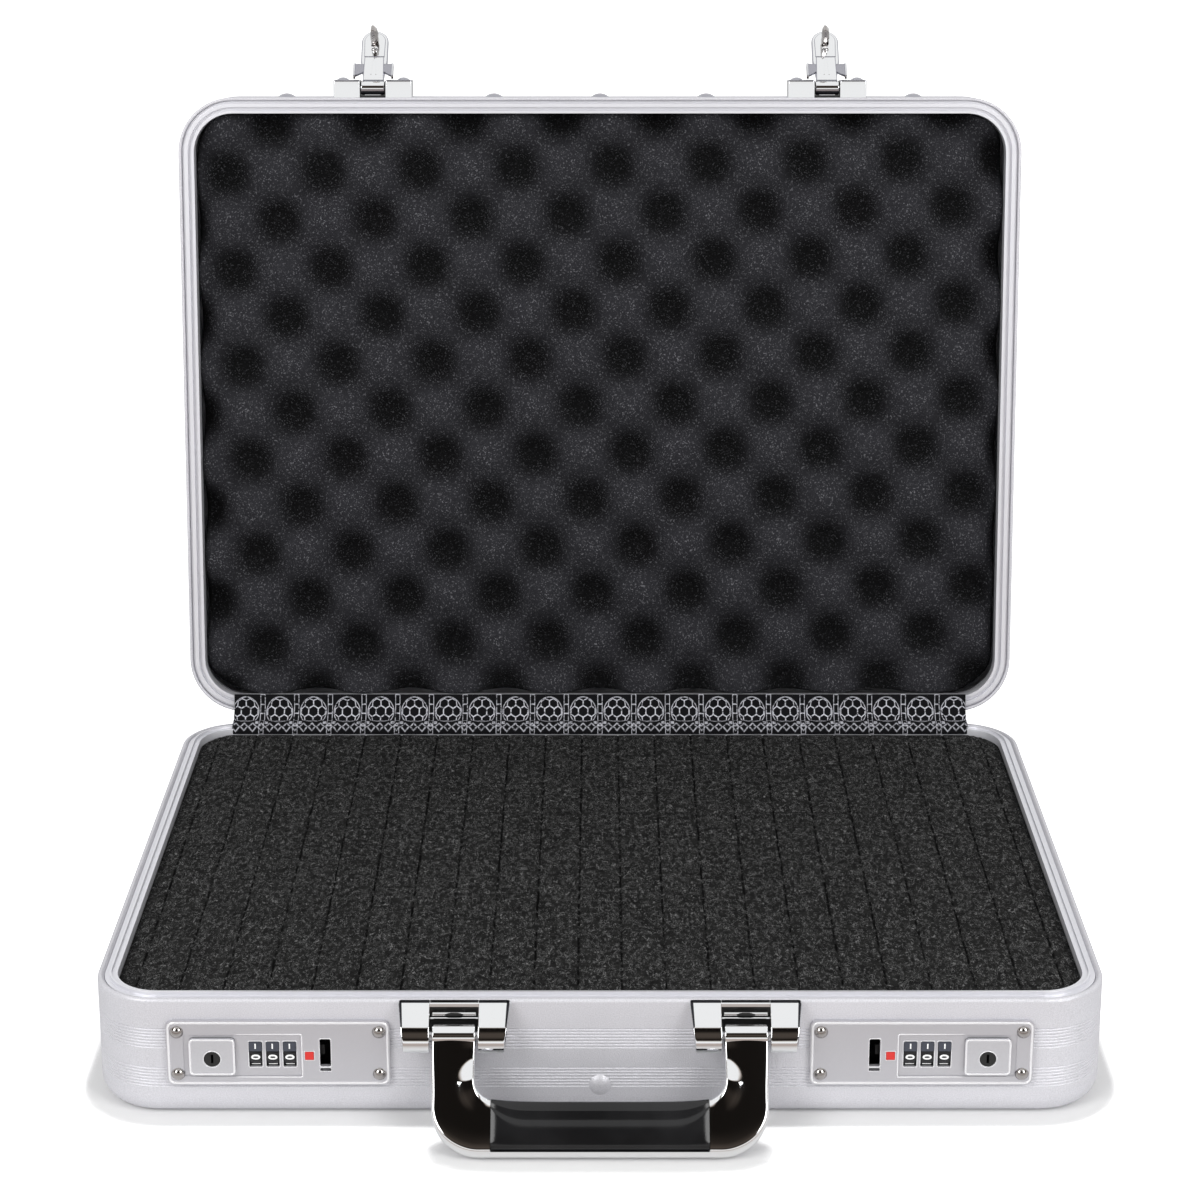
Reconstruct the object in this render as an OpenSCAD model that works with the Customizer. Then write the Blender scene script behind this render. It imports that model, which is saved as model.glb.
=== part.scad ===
// Aluminium laptop hard case, lid open, carrying handle folded down in front.
// Origin: centre of the underside. The front faces -Y, +Z is up, sizes in mm.

/* [Case] */
// Outside width of both shells
case_w = 430; // [400:5:470]
// Outside length of both shells, hinge to front
case_l = 320; // [290:5:360]
// Plan radius of the four corners
corner_r = 28; // [24:1:34]
// Depth of the base from its underside to the rim
base_d = 55; // [53:1:70]
// Depth of the lid from its top to the rim
lid_d = 40; // [36:1:60]
// Rounding where the walls turn into the panels
edge_r = 10; // [8.5:0.5:12]
// Gap between the two rims when the lid is shut
shut_gap = 0.5; // [0.4:0.1:0.8]
// How far the lid opens
open_angle = 97.5; // [90:0.5:110]

/* [Walls] */
// Sheet thickness of the walls
wall_t = 1.6; // [1.2:0.1:2]
// Sheet thickness of the top and bottom panels
panel_t = 1.5; // [1.2:0.1:2]
// Thickness of the rounded lip along the top of the base wall
lip_t = 3; // [2.6:0.1:3.4]
// Full width of the base rim
rim_w = 8.7; // [8.2:0.1:10]
// Full width of the lid rim
lid_rim_w = 8; // [7.6:0.1:8.8]
// Height of the sealing tongue above the base rim
tongue_h = 1; // [0.6:0.1:1.2]
// Width of the sealing tongue
tongue_w = 1; // [0.8:0.1:1.2]
// Distance between neighbouring wall grooves
groove_step = 1.4; // [1.2:0.1:1.6]
// Depth of a wall groove
groove_d = 0.35; // [0.2:0.05:0.5]
// Grooves in one band
groove_n = 7; // [4:1:7]

/* [Foam] */
// How far the base foam lies below the rim
foam_down = 3; // [2:0.5:5]
// How far the foam crests in the lid lie below its rim
crest_down = 5; // [4:0.5:8]
// Distance between two crests in a row
crest_step = 50; // [40:1:60]
// Height from foam valley to foam crest
crest_h = 13; // [8:1:16]
// Turn of the crest pattern against the case
crest_turn = 3; // [0:0.5:6]

/* [Hinge] */
// Length of the rear hinge
hinge_l = 360; // [300:6:372]
// Radius of the hinge knuckles
knuckle_r = 2.7; // [2.2:0.1:3]
// Radius of the hinge wire
hinge_wire_r = 1.2; // [0.8:0.1:1.4]
// Height of a hinge leaf
leaf_h = 20; // [15:1:24]
// Sheet thickness of the hinge leaves
leaf_t = 1; // [0.8:0.1:1.2]
// Distance of the hinge wire behind the rear wall
hinge_back = 4; // [3.8:0.1:4.6]
// Length of the printed cloth strip over the hinge
strip_l = 384; // [360:2:390]
// Thickness of the cloth strip
strip_t = 0.8; // [0.6:0.1:1]

/* [Lock] */
// Width of a lock plate
plate_w = 94; // [92:1:98]
// Height of a lock plate
plate_h = 29.7; // [29:0.5:32]
// How far below the rim a lock plate ends
plate_down = 9; // [8.5:0.5:10]
// How far a lock plate stands out
plate_t = 2; // [1.8:0.1:2.4]
// Distance of a lock plate's centre from the middle of the case
plate_x = 135.4; // [134:0.5:138]
// Width of the release button
button_w = 19.4; // [18:0.2:20]
// Height of the release button
button_h = 16.8; // [15:0.2:17]
// Travel of the release button
button_go = 2.2; // [1.4:0.2:2.2]
// Radius of the key cylinder
key_r = 3.45; // [3:0.05:3.6]
// Distance between two dial wheels
wheel_step = 7.2; // [7:0.1:7.4]
// Radius of a dial wheel
wheel_r = 6.2; // [5.8:0.1:6.2]
// Width of a dial wheel
wheel_w = 5; // [4:0.1:5.1]
// Width of the hasp slot
slot_w = 4.6; // [4.4:0.1:5]
// Height of the hasp slot
slot_h = 12.7; // [12:0.5:14]

/* [Hasp] */
// Distance of a hasp from the middle of the case
hasp_x = 115.6; // [115:0.1:116]
// Width of a hasp bracket
ear_w = 40; // [36:1:44]
// How far a hasp bracket stands out from the lid
ear_t = 8.8; // [8:0.2:10]
// Height of a hasp bracket on the lid wall
ear_h = 12; // [11:0.5:14]
// Gap in the bracket that holds the hasp
ear_gap = 12.7; // [12:0.1:14]
// Reach of the hasp from its pin to its tip
hasp_l = 36.7; // [34:0.5:38]
// Width of the hasp plate
hasp_w = 13.7; // [12:0.1:15]
// Width of the hasp across its shoulders
shoulder_w = 20.5; // [18:0.5:24]
// Thickness of the hasp blade that enters the slot
blade_t = 3.2; // [2.6:0.1:3.4]
// Length of the hasp blade
blade_l = 11; // [9:0.5:11.5]
// Radius of the hasp pins
hasp_pin_r = 1.25; // [1:0.05:1.5]

/* [Handle] */
// Distance of a handle bracket from the middle of the case
handle_x = 61; // [58:0.5:64]
// Width of a handle bracket at the rim
bracket_w = 47.5; // [44:0.5:50]
// Width of a handle bracket at its barrels
bracket_low_w = 42.7; // [41:0.1:44]
// Width of the gap for the handle arm
arm_gap = 20; // [19:0.2:22]
// Width of a handle arm
arm_w = 18; // [16:0.2:18.4]
// Distance of the handle pin in front of the case
pivot_out = 8; // [7.5:0.5:10]
// Depth of the handle pin below the rim
pivot_down = 12.7; // [12:0.5:15]
// Radius of the bracket barrels
barrel_r = 5.6; // [5.4:0.1:6]
// Radius of the handle pins
handle_pin_r = 2; // [1.5:0.1:2.5]
// Reach of the handle from its pin to its outer edge
handle_reach = 50; // [46:0.5:54]
// Thickness of the handle
handle_t = 8; // [6:0.5:9]
// Width of the handle bar with its grip
bar_w = 23.7; // [20:0.5:26]
// Length of the grip
grip_l = 90.5; // [80:0.5:94]

/* [Fasteners] */
// Head radius of the lock plate rivets
rivet_r = 2.9; // [2.5:0.1:2.9]
// Head radius of the wall rivets
wall_rivet_r = 4.7; // [4:0.1:5.2]
// Head height of the rivets
rivet_h = 1.8; // [1.4:0.1:2.2]
// Distance of the inner lid rivets from the middle
lid_rivet_near = 54.5; // [50:0.5:60]
// Distance of the outer lid rivets from the middle
lid_rivet_far = 161; // [156:0.5:170]

/* [Fits] */
// Radial clearance of a pin in its bore
run_fit = 0.05; // [0.03:0.01:0.1]
// Gap between parts that lie side by side
side_gap = 0.3; // [0.2:0.05:0.4]
// Gap between pieces that nest in one another
nest_gap = 0.1; // [0.05:0.05:0.2]

/* [Hidden] */

// Smoothness of corners, rounds and small round parts
corner_fn = 48;
round_fn = 48;
small_fn = 32;
// Overshoot of a cutting tool past the face that it cuts
cut = 1;

front = -case_l / 2;
rear = case_l / 2;
hinge_y = rear + hinge_back;
hinge_z = base_d + shut_gap / 2;

// Seam where the side band meets the rounded edge of a panel
seam_z = 6.9;
flange_t = 1.4;
flange_top = 11.5;
lip_drop = 6;
rim_t = 1.5;
rim_d = 8;
leg_d = 10;
step_down = 0.7;
bead_in = 5.2;

// Groove bands, lowest groove of each, above the underside
band_high = base_d - 22.2;
band_low = 14.8;

// Lock geometry on the left side; the right side mirrors it
face_y = front - plate_t;
plate_z = base_d - plate_down - plate_h / 2;
recess_d = 0.6;
recess_x = plate_x - 9.75;
recess_z = plate_z - 10.95;
recess_h = 19.4;
button_x = plate_x + 27.8;
button_z = plate_z - 1.35;
button_out = 1.2;
recess_w = button_x + button_w / 2 + button_go + side_gap - recess_x;
key_z = plate_z - 2.25;
stem_r = 5;
stem_l = 11.7;
key_l = 13.2;
case_back = 17.6;
case_t = 1.2;
case_lip = 3.6;
case_w_in = 77;
case_x = plate_x + 0.6;
case_low = plate_z - 13.65;
case_h = 27;
wheel_x = plate_x + 2.4;
wheel_z = plate_z - 2.05;
wheel_y = face_y + recess_d + wheel_r - 0.2;
axle_r = 1.2;
rib_t = 1.2;
rib_past = 2.6;
rib_span = 1.5 * wheel_step + side_gap / 2;
window_w = 5.6;
window_low = plate_z - 6.65;
window_top = window_low + 11.8;
index_low = window_low + 7.6;
slot_z = plate_z + 0.2;
pip_x = plate_x - 13.1;
pip_z = slot_z - 1.4;
pip = 3.8;
slide_z = plate_z + 8.15;
slide_h = 3;
slide_y = front + 2.4;
slide_t = 2;
nose_h = 4.5;
nose_in = 1.7;

// Hasp geometry, written for the shut lid
hasp_y = front - 4.6;
hasp_z = base_d + shut_gap + 4.5;
hasp_open = 130;
hasp_knuckle_r = 3.5;
hasp_t = 2;
blade_r = hasp_z - slot_z;
blade_h = 5;
shoulder = 7.5;
ear_low = lid_d - 1;
ear_back = 1.1;
pin_in = 8;
spring_t = 0.4;
// Height of the hasp pin over the lid rim, in the lid's tray frame
hasp_down = base_d + shut_gap - hasp_z;

// Handle geometry
handle_y = front - pivot_out;
handle_z = base_d - pivot_down;
floor_gap = 0.2;
arm_end_r = 5;
reach_diag = sqrt(handle_reach * handle_reach + handle_t * handle_t / 4);
handle_tilt = atan2(handle_t / 2, handle_reach) + acos((handle_z - floor_gap) / reach_diag);
grip_t = handle_t + 0.6;
grip_skin = 2.5;
edge_w = 2.4;

arm_out = handle_x + arm_w / 2;
arm_in = handle_x - arm_w / 2;
handle_corner_r = 20;
bracket_top = 3;
inner_corner_r = 8;
web_t = 3;

// Hinge geometry
knuckles = 24;
knuckle_l = hinge_l / knuckles;
leaf_rivets = 6;
leaf_line = 0.65 * leaf_h;
recline = open_angle - 90;
rim_from_wire = base_d + shut_gap - hinge_z;
lid_edge_y = hinge_y - hinge_back * cos(open_angle) + rim_from_wire * sin(open_angle);
lid_edge_z = hinge_z + hinge_back * sin(open_angle) + rim_from_wire * cos(open_angle);

// Egg-crate foam: its outline and the number of mesh steps across and along
foam_in = lid_rim_w + side_gap;
foam_w = case_w - 2 * foam_in;
foam_l = case_l - 2 * foam_in;
foam_r = corner_r - foam_in;
foam_nx = 40;
foam_ny = 26;

// Shank radii and places of the fasteners
wall_shank_r = 2;
leaf_shank_r = 1.6;
lock_shank_r = 1.3;
screw_shank_r = 1.5;
screw_clear_r = 2.4;
leaf_head_r = 2.6;
leaf_head_h = 1.2;
screw_head_r = 3.2;
screw_head_h = 1.3;
tail_t = 0.8;
tail_flare = 0.5;
base_rivet_z = 15.3;
lid_rivet_z = lid_d / 2 + 2;
lock_rivet_in_x = 4.5;
lock_rivet_in_z = 5.1;

silver = [0.80, 0.80, 0.82];
chrome = [0.88, 0.89, 0.90];
satin = [0.70, 0.70, 0.72];
black = [0.08, 0.08, 0.09];
foam_grey = [0.17, 0.17, 0.17];
red = [0.85, 0.12, 0.12];

// General helpers

module from_corner(r) {
    translate([r, 0]) mirror([1, 0]) children();
}

// Sweeps a profile round a rounded rectangle: its x is the distance in from the outside
module ring(w, l, r) {
    for (k = [0:3]) {
        cx = (k % 2 == 0 ? w : l) / 2 - r;
        cy = (k % 2 == 0 ? l : w) / 2 - r;
        rotate([0, 0, 90 * k]) translate([cx, cy, 0]) {
            rotate_extrude(angle = 90, $fn = corner_fn) from_corner(r) children();
            rotate([90, 0, 0]) linear_extrude(2 * cy) from_corner(r) children();
        }
    }
}

module round_rect(w, l, r) {
    square([w, l - 2 * r], center = true);
    square([w - 2 * r, l], center = true);
    for (x = [-1, 1], y = [-1, 1])
        translate([x * (w / 2 - r), y * (l / 2 - r)]) circle(r, $fn = corner_fn);
}

module rod_x(r, x0, x1, fn = small_fn) {
    translate([x0, 0, 0]) rotate([0, 90, 0]) cylinder(h = x1 - x0, r = r, $fn = fn);
}

// A domed head of radius r and height h that points along -Y from y = 0
module dome(r, h) {
    ball = (r * r + h * h) / (2 * h);
    intersection() {
        translate([0, ball - h, 0]) sphere(ball, $fn = round_fn);
        rotate([90, 0, 0]) cylinder(h = h + cut, r = r + cut, $fn = small_fn);
    }
}

// A rivet with its head on y = 0, a shank through t and a flared tail
module rivet(r, h, shank_r, t) {
    dome(r, h);
    rotate([-90, 0, 0]) cylinder(h = t, r = shank_r, $fn = small_fn);
    translate([0, t, 0]) rotate([-90, 0, 0])
        cylinder(h = tail_t, r = shank_r + tail_flare, $fn = small_fn);
}

module both_sides(side) {
    if (side < 0) children();
    else mirror([1, 0, 0]) children();
}

// Puts a piece drawn in the lid's own tray frame onto the open lid
module on_open_lid() {
    translate([0, hinge_y, hinge_z]) rotate([-open_angle, 0, 0])
        translate([0, -hinge_y, -hinge_z]) children();
}

module lid_tray() {
    on_open_lid() translate([0, 0, base_d + shut_gap + lid_d]) mirror([0, 0, 1]) children();
}

// Shells

module groove_cuts(low) {
    for (i = [0:groove_n - 1])
        translate([0, low + i * groove_step])
            polygon([[-0.1, -0.5], [groove_d, 0], [-0.1, 0.5]]);
}

// Wall profile from the panel seam up to the rim at height d
module wall_profile(d, lip) {
    difference() {
        union() {
            intersection() {
                union() {
                    translate([edge_r, edge_r]) circle(edge_r, $fn = round_fn);
                    translate([0, edge_r]) square([edge_r, d]);
                }
                translate([0, seam_z]) square([wall_t, d - seam_z - lip / 2]);
            }
            translate([0, d - lip_drop]) square([lip, lip_drop - lip / 2]);
            translate([lip / 2, d - lip / 2]) circle(lip / 2, $fn = small_fn);
        }
        groove_cuts(band_low);
        groove_cuts(min(band_high, d - lip_drop - groove_step * groove_n));
    }
}

module edge_profile() {
    intersection() {
        difference() {
            translate([edge_r, edge_r]) circle(edge_r, $fn = round_fn);
            translate([edge_r, edge_r]) circle(edge_r - panel_t, $fn = round_fn);
        }
        square([edge_r, seam_z]);
    }
    translate([wall_t + nest_gap, seam_z - 1.5]) square([flange_t, flange_top - seam_z + 1.5]);
    translate([edge_r - 0.5, 0]) square([4, panel_t]);
}

module panel() {
    ring(case_w, case_l, corner_r) edge_profile();
    inset = edge_r + 2;
    linear_extrude(panel_t) round_rect(case_w - 2 * inset, case_l - 2 * inset, corner_r - inset);
}

module base_side_band() {
    color(silver) difference() {
        ring(case_w, case_l, corner_r) wall_profile(base_d, lip_t);
        for (side = [-1, 1]) both_sides(side) lock_cutout();
        for (side = [-1, 1]) both_sides(side) lock_rivet_places() wall_hole(lock_shank_r);
        translate([0, front, base_rivet_z]) wall_hole(wall_shank_r);
        hinge_rivet_places(base_d - leaf_line) wall_hole(leaf_shank_r);
    }
}

// A hole of radius r along Y, through the wall that it is placed on
module wall_hole(r) {
    rotate([90, 0, 0]) cylinder(h = 2 * (wall_t + leaf_t + cut), r = r + nest_gap,
                                center = true, $fn = small_fn);
}

module base_bottom_panel() {
    color(silver) panel();
}

module base_rim_profile() {
    top = base_d;
    out = lip_t + nest_gap;
    difference() {
        union() {
            translate([wall_t + nest_gap, top - leg_d]) square([rim_t, leg_d - lip_drop - nest_gap]);
            translate([wall_t + nest_gap, top - rim_d])
                square([out + rim_t - wall_t - nest_gap, rim_t]);
            translate([out, top - rim_d]) square([rim_w - out, rim_d - step_down]);
            translate([bead_in, top - rim_d]) square([rim_w - bead_in, rim_d]);
            translate([bead_in, top - rim_d]) square([tongue_w, rim_d + tongue_h]);
        }
        translate([out + rim_t, top - rim_d - cut])
            square([rim_w - out - 2 * rim_t, rim_d - step_down - rim_t + cut]);
    }
}

module base_rim_frame() {
    color(silver) ring(case_w, case_l, corner_r) base_rim_profile();
}

module base_foam_block() {
    in = rim_w + side_gap;
    color(foam_grey) difference() {
        translate([0, 0, panel_t + nest_gap]) linear_extrude(base_d - foam_down - panel_t - nest_gap)
            round_rect(case_w - 2 * in, case_l - 2 * in, corner_r - in);
        for (side = [-1, 1]) both_sides(side)
            translate([-case_x - case_w_in / 2 - 4, front, case_low - side_gap])
                cube([case_w_in + 8, case_back + 2 * side_gap, case_h + 2 * side_gap]);
    }
}

module base_front_rivet() {
    color(chrome) translate([0, front, base_rivet_z]) rivet(wall_rivet_r, rivet_h, wall_shank_r, wall_t);
}

module lid_side_band() {
    color(silver) lid_tray() difference() {
        ring(case_w, case_l, corner_r) wall_profile(lid_d, wall_t);
        lid_rivet_places() wall_hole(wall_shank_r);
        hinge_rivet_places(lid_d - leaf_line) wall_hole(leaf_shank_r);
        for (side = [-1, 1]) both_sides(side) screw_places() wall_hole(screw_shank_r);
    }
}

module lid_top_panel() {
    color(silver) lid_tray() panel();
}

module lid_rim_profile() {
    groove_in = bead_in - side_gap;
    groove_out = bead_in + tongue_w + side_gap;
    bead = groove_in - 2;
    difference() {
        translate([wall_t + nest_gap, lid_d - rim_d])
            square([lid_rim_w - wall_t - nest_gap, rim_d]);
        translate([wall_t, lid_d - 2]) square([bead - wall_t, 2 + cut]);
        translate([groove_in, lid_d - 2]) square([groove_out - groove_in, 2 + cut]);
        translate([wall_t + nest_gap + rim_t, lid_d - rim_d - cut])
            square([lid_rim_w - wall_t - nest_gap - 2 * rim_t + 0.2, rim_d - 2 - rim_t + cut]);
    }
    translate([wall_t + nest_gap, lid_d - leg_d]) square([rim_t, leg_d - rim_d + rim_t]);
}

module lid_rim_frame() {
    color(silver) lid_tray() difference() {
        ring(case_w, case_l, corner_r) lid_rim_profile();
        for (side = [-1, 1]) both_sides(side) screw_places() wall_hole(screw_clear_r);
    }
}

// Egg-crate foam: crests and valleys on a turned square lattice

function crest_z(x, y) =
    let (u = x * cos(crest_turn) + y * sin(crest_turn),
         v = y * cos(crest_turn) - x * sin(crest_turn))
    crest_h / 2 * (cos(360 * u / crest_step) * cos(360 * v / crest_step) - 1);

// Half width of the foam at a distance y from its middle
function foam_half(y) =
    let (past = max(0, abs(y) - (foam_l / 2 - foam_r)))
    foam_w / 2 - foam_r + sqrt(max(0, foam_r * foam_r - past * past));

module lid_foam_eggcrate() {
    top = lid_d - crest_down;
    low = panel_t + side_gap;
    cols = foam_nx + 1;
    ys = [for (j = [0:foam_ny]) foam_l / 2 * sin(90 * (2 * j / foam_ny - 1) * 0.999) * 0.15
          + 0.85 * foam_l * (j / foam_ny - 0.5)];
    pts = [for (lvl = [0, 1], y = ys, i = [0:foam_nx])
           let (x = foam_half(y) * (2 * i / foam_nx - 1))
           [x, y, lvl == 0 ? low : top + crest_z(x, y)]];
    n = cols * (foam_ny + 1);
    middle = [[0, 0, low]];
    quads = [for (j = [0:foam_ny - 1], i = [0:foam_nx - 1]) j * cols + i];
    tops = [for (q = quads) [n + q, n + q + cols, n + q + 1]];
    tops_b = [for (q = quads) [n + q + 1, n + q + cols, n + q + cols + 1]];
    rim_loop = concat([for (i = [0:foam_nx - 1]) i],
                      [for (j = [0:foam_ny - 1]) j * cols + foam_nx],
                      [for (i = [foam_nx:-1:1]) foam_ny * cols + i],
                      [for (j = [foam_ny:-1:1]) j * cols]);
    m = len(rim_loop);
    edges = [for (k = [0:m - 1]) [rim_loop[k], rim_loop[(k + 1) % m]]];
    sides = [for (e = edges) [e[0], n + e[0], e[1]]];
    sides_b = [for (e = edges) [e[1], n + e[0], n + e[1]]];
    floors = [for (e = edges) [e[0], e[1], 2 * n]];
    color(black) lid_tray()
        polyhedron(concat(pts, middle), concat(tops, tops_b, sides, sides_b, floors), convexity = 8);
}

// Wall rivets of the lid, in its tray frame
module lid_rivet_places() {
    for (x = [-lid_rivet_far, -lid_rivet_near, 0, lid_rivet_near, lid_rivet_far])
        translate([x, front, lid_rivet_z]) children();
}

module lid_front_rivets() {
    color(chrome) lid_tray() lid_rivet_places() rivet(wall_rivet_r, rivet_h, wall_shank_r, wall_t);
}

// Hinge

module hinge_rivet_places(z) {
    for (i = [0:leaf_rivets - 1])
        translate([hinge_l * ((i + 0.5) / leaf_rivets - 0.5), rear, z]) children();
}

// One leaf with every second knuckle; it hangs down from the hinge wire
module hinge_leaf(first) {
    difference() {
        union() {
            translate([-hinge_l / 2, rear, hinge_z - shut_gap / 2 - leaf_h])
                cube([hinge_l, leaf_t, leaf_h - nest_gap]);
            for (i = [first:2:knuckles - 1])
                translate([-hinge_l / 2 + i * knuckle_l + nest_gap, 0, 0]) {
                    translate([0, hinge_y, hinge_z]) rod_x(knuckle_r, 0, knuckle_l - 2 * nest_gap);
                    translate([0, rear, hinge_z - knuckle_r + 0.2])
                        cube([knuckle_l - 2 * nest_gap, hinge_back, 1]);
                }
        }
        translate([0, hinge_y, hinge_z])
            rod_x(hinge_wire_r + run_fit, -hinge_l / 2 - cut, hinge_l / 2 + cut);
        hinge_rivet_places(base_d - leaf_line) wall_hole(leaf_shank_r);
    }
}

module hinge_leaf_base() {
    color(satin) hinge_leaf(0);
}

module hinge_leaf_lid() {
    color(satin) on_open_lid() translate([0, 0, 2 * hinge_z]) mirror([0, 0, 1]) hinge_leaf(1);
}

module hinge_pin() {
    color(chrome) translate([0, hinge_y, hinge_z]) rod_x(hinge_wire_r, -hinge_l / 2, hinge_l / 2);
}

module leaf_rivets_row() {
    hinge_rivet_places(base_d - leaf_line) translate([0, leaf_t, 0]) rotate([0, 0, 180])
        rivet(leaf_head_r, leaf_head_h, leaf_shank_r, leaf_t + wall_t);
}

module hinge_rivets_base() {
    color(chrome) leaf_rivets_row();
}

module hinge_rivets_lid() {
    color(chrome) on_open_lid() translate([0, 0, 2 * hinge_z]) mirror([0, 0, 1]) leaf_rivets_row();
}

// Cloth strip over both rear rims, drawn for the open lid

// A point on the open lid rim: s up from its hinge edge, out towards the foam side
function lid_point(s, out) = [lid_edge_y + s * sin(recline) - out * cos(recline),
                              lid_edge_z + s * cos(recline) + out * sin(recline)];

module hinge_cover_strip() {
    over = tongue_h + side_gap;
    under = [[rear - rim_w, base_d + side_gap], [rear - bead_in - tongue_w - 1.4, base_d + side_gap],
             [rear - bead_in - tongue_w - 0.7, base_d + over], [rear - 1, base_d + over],
             lid_point(1.5, side_gap), lid_point(lid_rim_w, side_gap)];
    upper = [lid_point(lid_rim_w, side_gap + strip_t), lid_point(2.5, side_gap + strip_t),
             [rear - 1.4, base_d + over + strip_t],
             [rear - bead_in - tongue_w - 1, base_d + over + strip_t],
             [rear - bead_in - tongue_w - 1.8, base_d + side_gap + strip_t],
             [rear - rim_w, base_d + side_gap + strip_t]];
    color(black) translate([-strip_l / 2, 0, 0]) rotate([90, 0, 90])
        linear_extrude(strip_l) polygon(concat(under, upper));
}

// Handle

module handle_bracket(side) {
    both_sides(side) difference() {
        intersection() {
            translate([-handle_x - bracket_w / 2, 0, 0]) rotate([90, 0, 90]) linear_extrude(bracket_w) {
                polygon([[front, base_d - nest_gap], [front - bracket_top, base_d - nest_gap],
                         [handle_y - bracket_top, handle_z + barrel_r - 0.4], [handle_y, handle_z],
                         [handle_y, handle_z - barrel_r], [front, handle_z - barrel_r]]);
                translate([handle_y, handle_z]) circle(barrel_r, $fn = round_fn);
            }
            rotate([90, 0, 0]) linear_extrude(4 * barrel_r + case_l)
                polygon([[-handle_x - bracket_w / 2, base_d], [-handle_x + bracket_w / 2, base_d],
                         [-handle_x + bracket_low_w / 2, handle_z],
                         [-handle_x + bracket_low_w / 2, 0], [-handle_x - bracket_low_w / 2, 0],
                         [-handle_x - bracket_low_w / 2, handle_z]]);
        }
        translate([-handle_x - arm_gap / 2, handle_y - barrel_r - cut, 0])
            cube([arm_gap, barrel_r + cut + pivot_out - 2, base_d - 2]);
        translate([-handle_x, handle_y, handle_z])
            rod_x(handle_pin_r + run_fit, -bracket_w / 2 - cut, bracket_w / 2 + cut);
    }
}

module handle_bracket_left() {
    color(chrome) handle_bracket(-1);
}

module handle_bracket_right() {
    color(chrome) handle_bracket(1);
}

module handle_pin(side) {
    both_sides(side) translate([0, handle_y, handle_z])
        translate([-handle_x, 0, 0])
            rod_x(handle_pin_r, -bracket_low_w / 2 + 0.5, bracket_low_w / 2 - 0.5);
}

module handle_pin_left() {
    color(chrome) handle_pin(-1);
}

module handle_pin_right() {
    color(chrome) handle_pin(1);
}

// Draws in the handle's own plane: x across, y the distance from the pins
module handle_plane() {
    translate([0, handle_y, handle_z]) rotate([-handle_tilt, 0, 0]) rotate([-90, 0, 0]) children();
}

module handle_outline() {
    difference() {
        union() {
            translate([-arm_out, 0]) square([2 * arm_out, handle_reach - handle_corner_r]);
            translate([-arm_out + handle_corner_r, 0])
                square([2 * (arm_out - handle_corner_r), handle_reach]);
            for (x = [-1, 1])
                translate([x * (arm_out - handle_corner_r), handle_reach - handle_corner_r])
                    circle(handle_corner_r, $fn = round_fn);
        }
        translate([-arm_in, -cut]) square([2 * arm_in, handle_reach - bar_w - inner_corner_r + cut]);
        translate([-arm_in + inner_corner_r, -cut])
            square([2 * (arm_in - inner_corner_r), handle_reach - bar_w + cut]);
        for (x = [-1, 1])
            translate([x * (arm_in - inner_corner_r), handle_reach - bar_w - inner_corner_r])
                circle(inner_corner_r, $fn = round_fn);
    }
}

module handle_frame() {
    gl = grip_l / 2;
    bar_in = handle_reach - bar_w;
    color(chrome) handle_plane() difference() {
        union() {
            translate([0, 0, -handle_t / 2]) linear_extrude(handle_t) handle_outline();
            for (x = [-1, 1]) translate([x * handle_x, 0, 0])
                rod_x(arm_end_r, -arm_w / 2, arm_w / 2, round_fn);
        }
        for (s = [-1, 1])
            translate([-gl, bar_in - cut, s > 0 ? web_t / 2 : -handle_t])
                cube([grip_l, bar_w - edge_w + cut, handle_t - web_t / 2]);
        translate([-gl, bar_in - cut, -handle_t]) cube([grip_l, grip_skin + cut, 2 * handle_t]);
        rod_x(handle_pin_r + run_fit, -arm_out - cut, arm_out + cut);
    }
}

module handle_grip() {
    gl = grip_l / 2 - nest_gap;
    bar_in = handle_reach - bar_w;
    r = 3;
    color(black) handle_plane() difference() {
        translate([-gl, 0, 0]) rotate([90, 0, 90]) linear_extrude(2 * gl) {
            translate([bar_in + r, -grip_t / 2]) square([bar_w - edge_w - nest_gap - r, grip_t]);
            translate([bar_in, -grip_t / 2 + r]) square([r + 1, grip_t - 2 * r]);
            for (z = [-1, 1]) translate([bar_in + r, z * (grip_t / 2 - r)]) circle(r, $fn = small_fn);
        }
        translate([-gl - cut, bar_in + grip_skin - nest_gap, -web_t / 2 - nest_gap])
            cube([2 * gl + 2 * cut, bar_w, web_t + 2 * nest_gap]);
    }
}

// Locks, drawn on the left side

module lock_cutout() {
    translate([-case_x - case_w_in / 2, front - cut, case_low + 1.5])
        cube([case_w_in, wall_t + 2 * cut, case_h - 3]);
}

module lock_rivet_places() {
    for (x = [-1, 1], z = [-1, 1])
        translate([-plate_x + x * (plate_w / 2 - lock_rivet_in_x), front,
                   plate_z + z * (plate_h / 2 - lock_rivet_in_z)])
            children();
}

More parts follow.
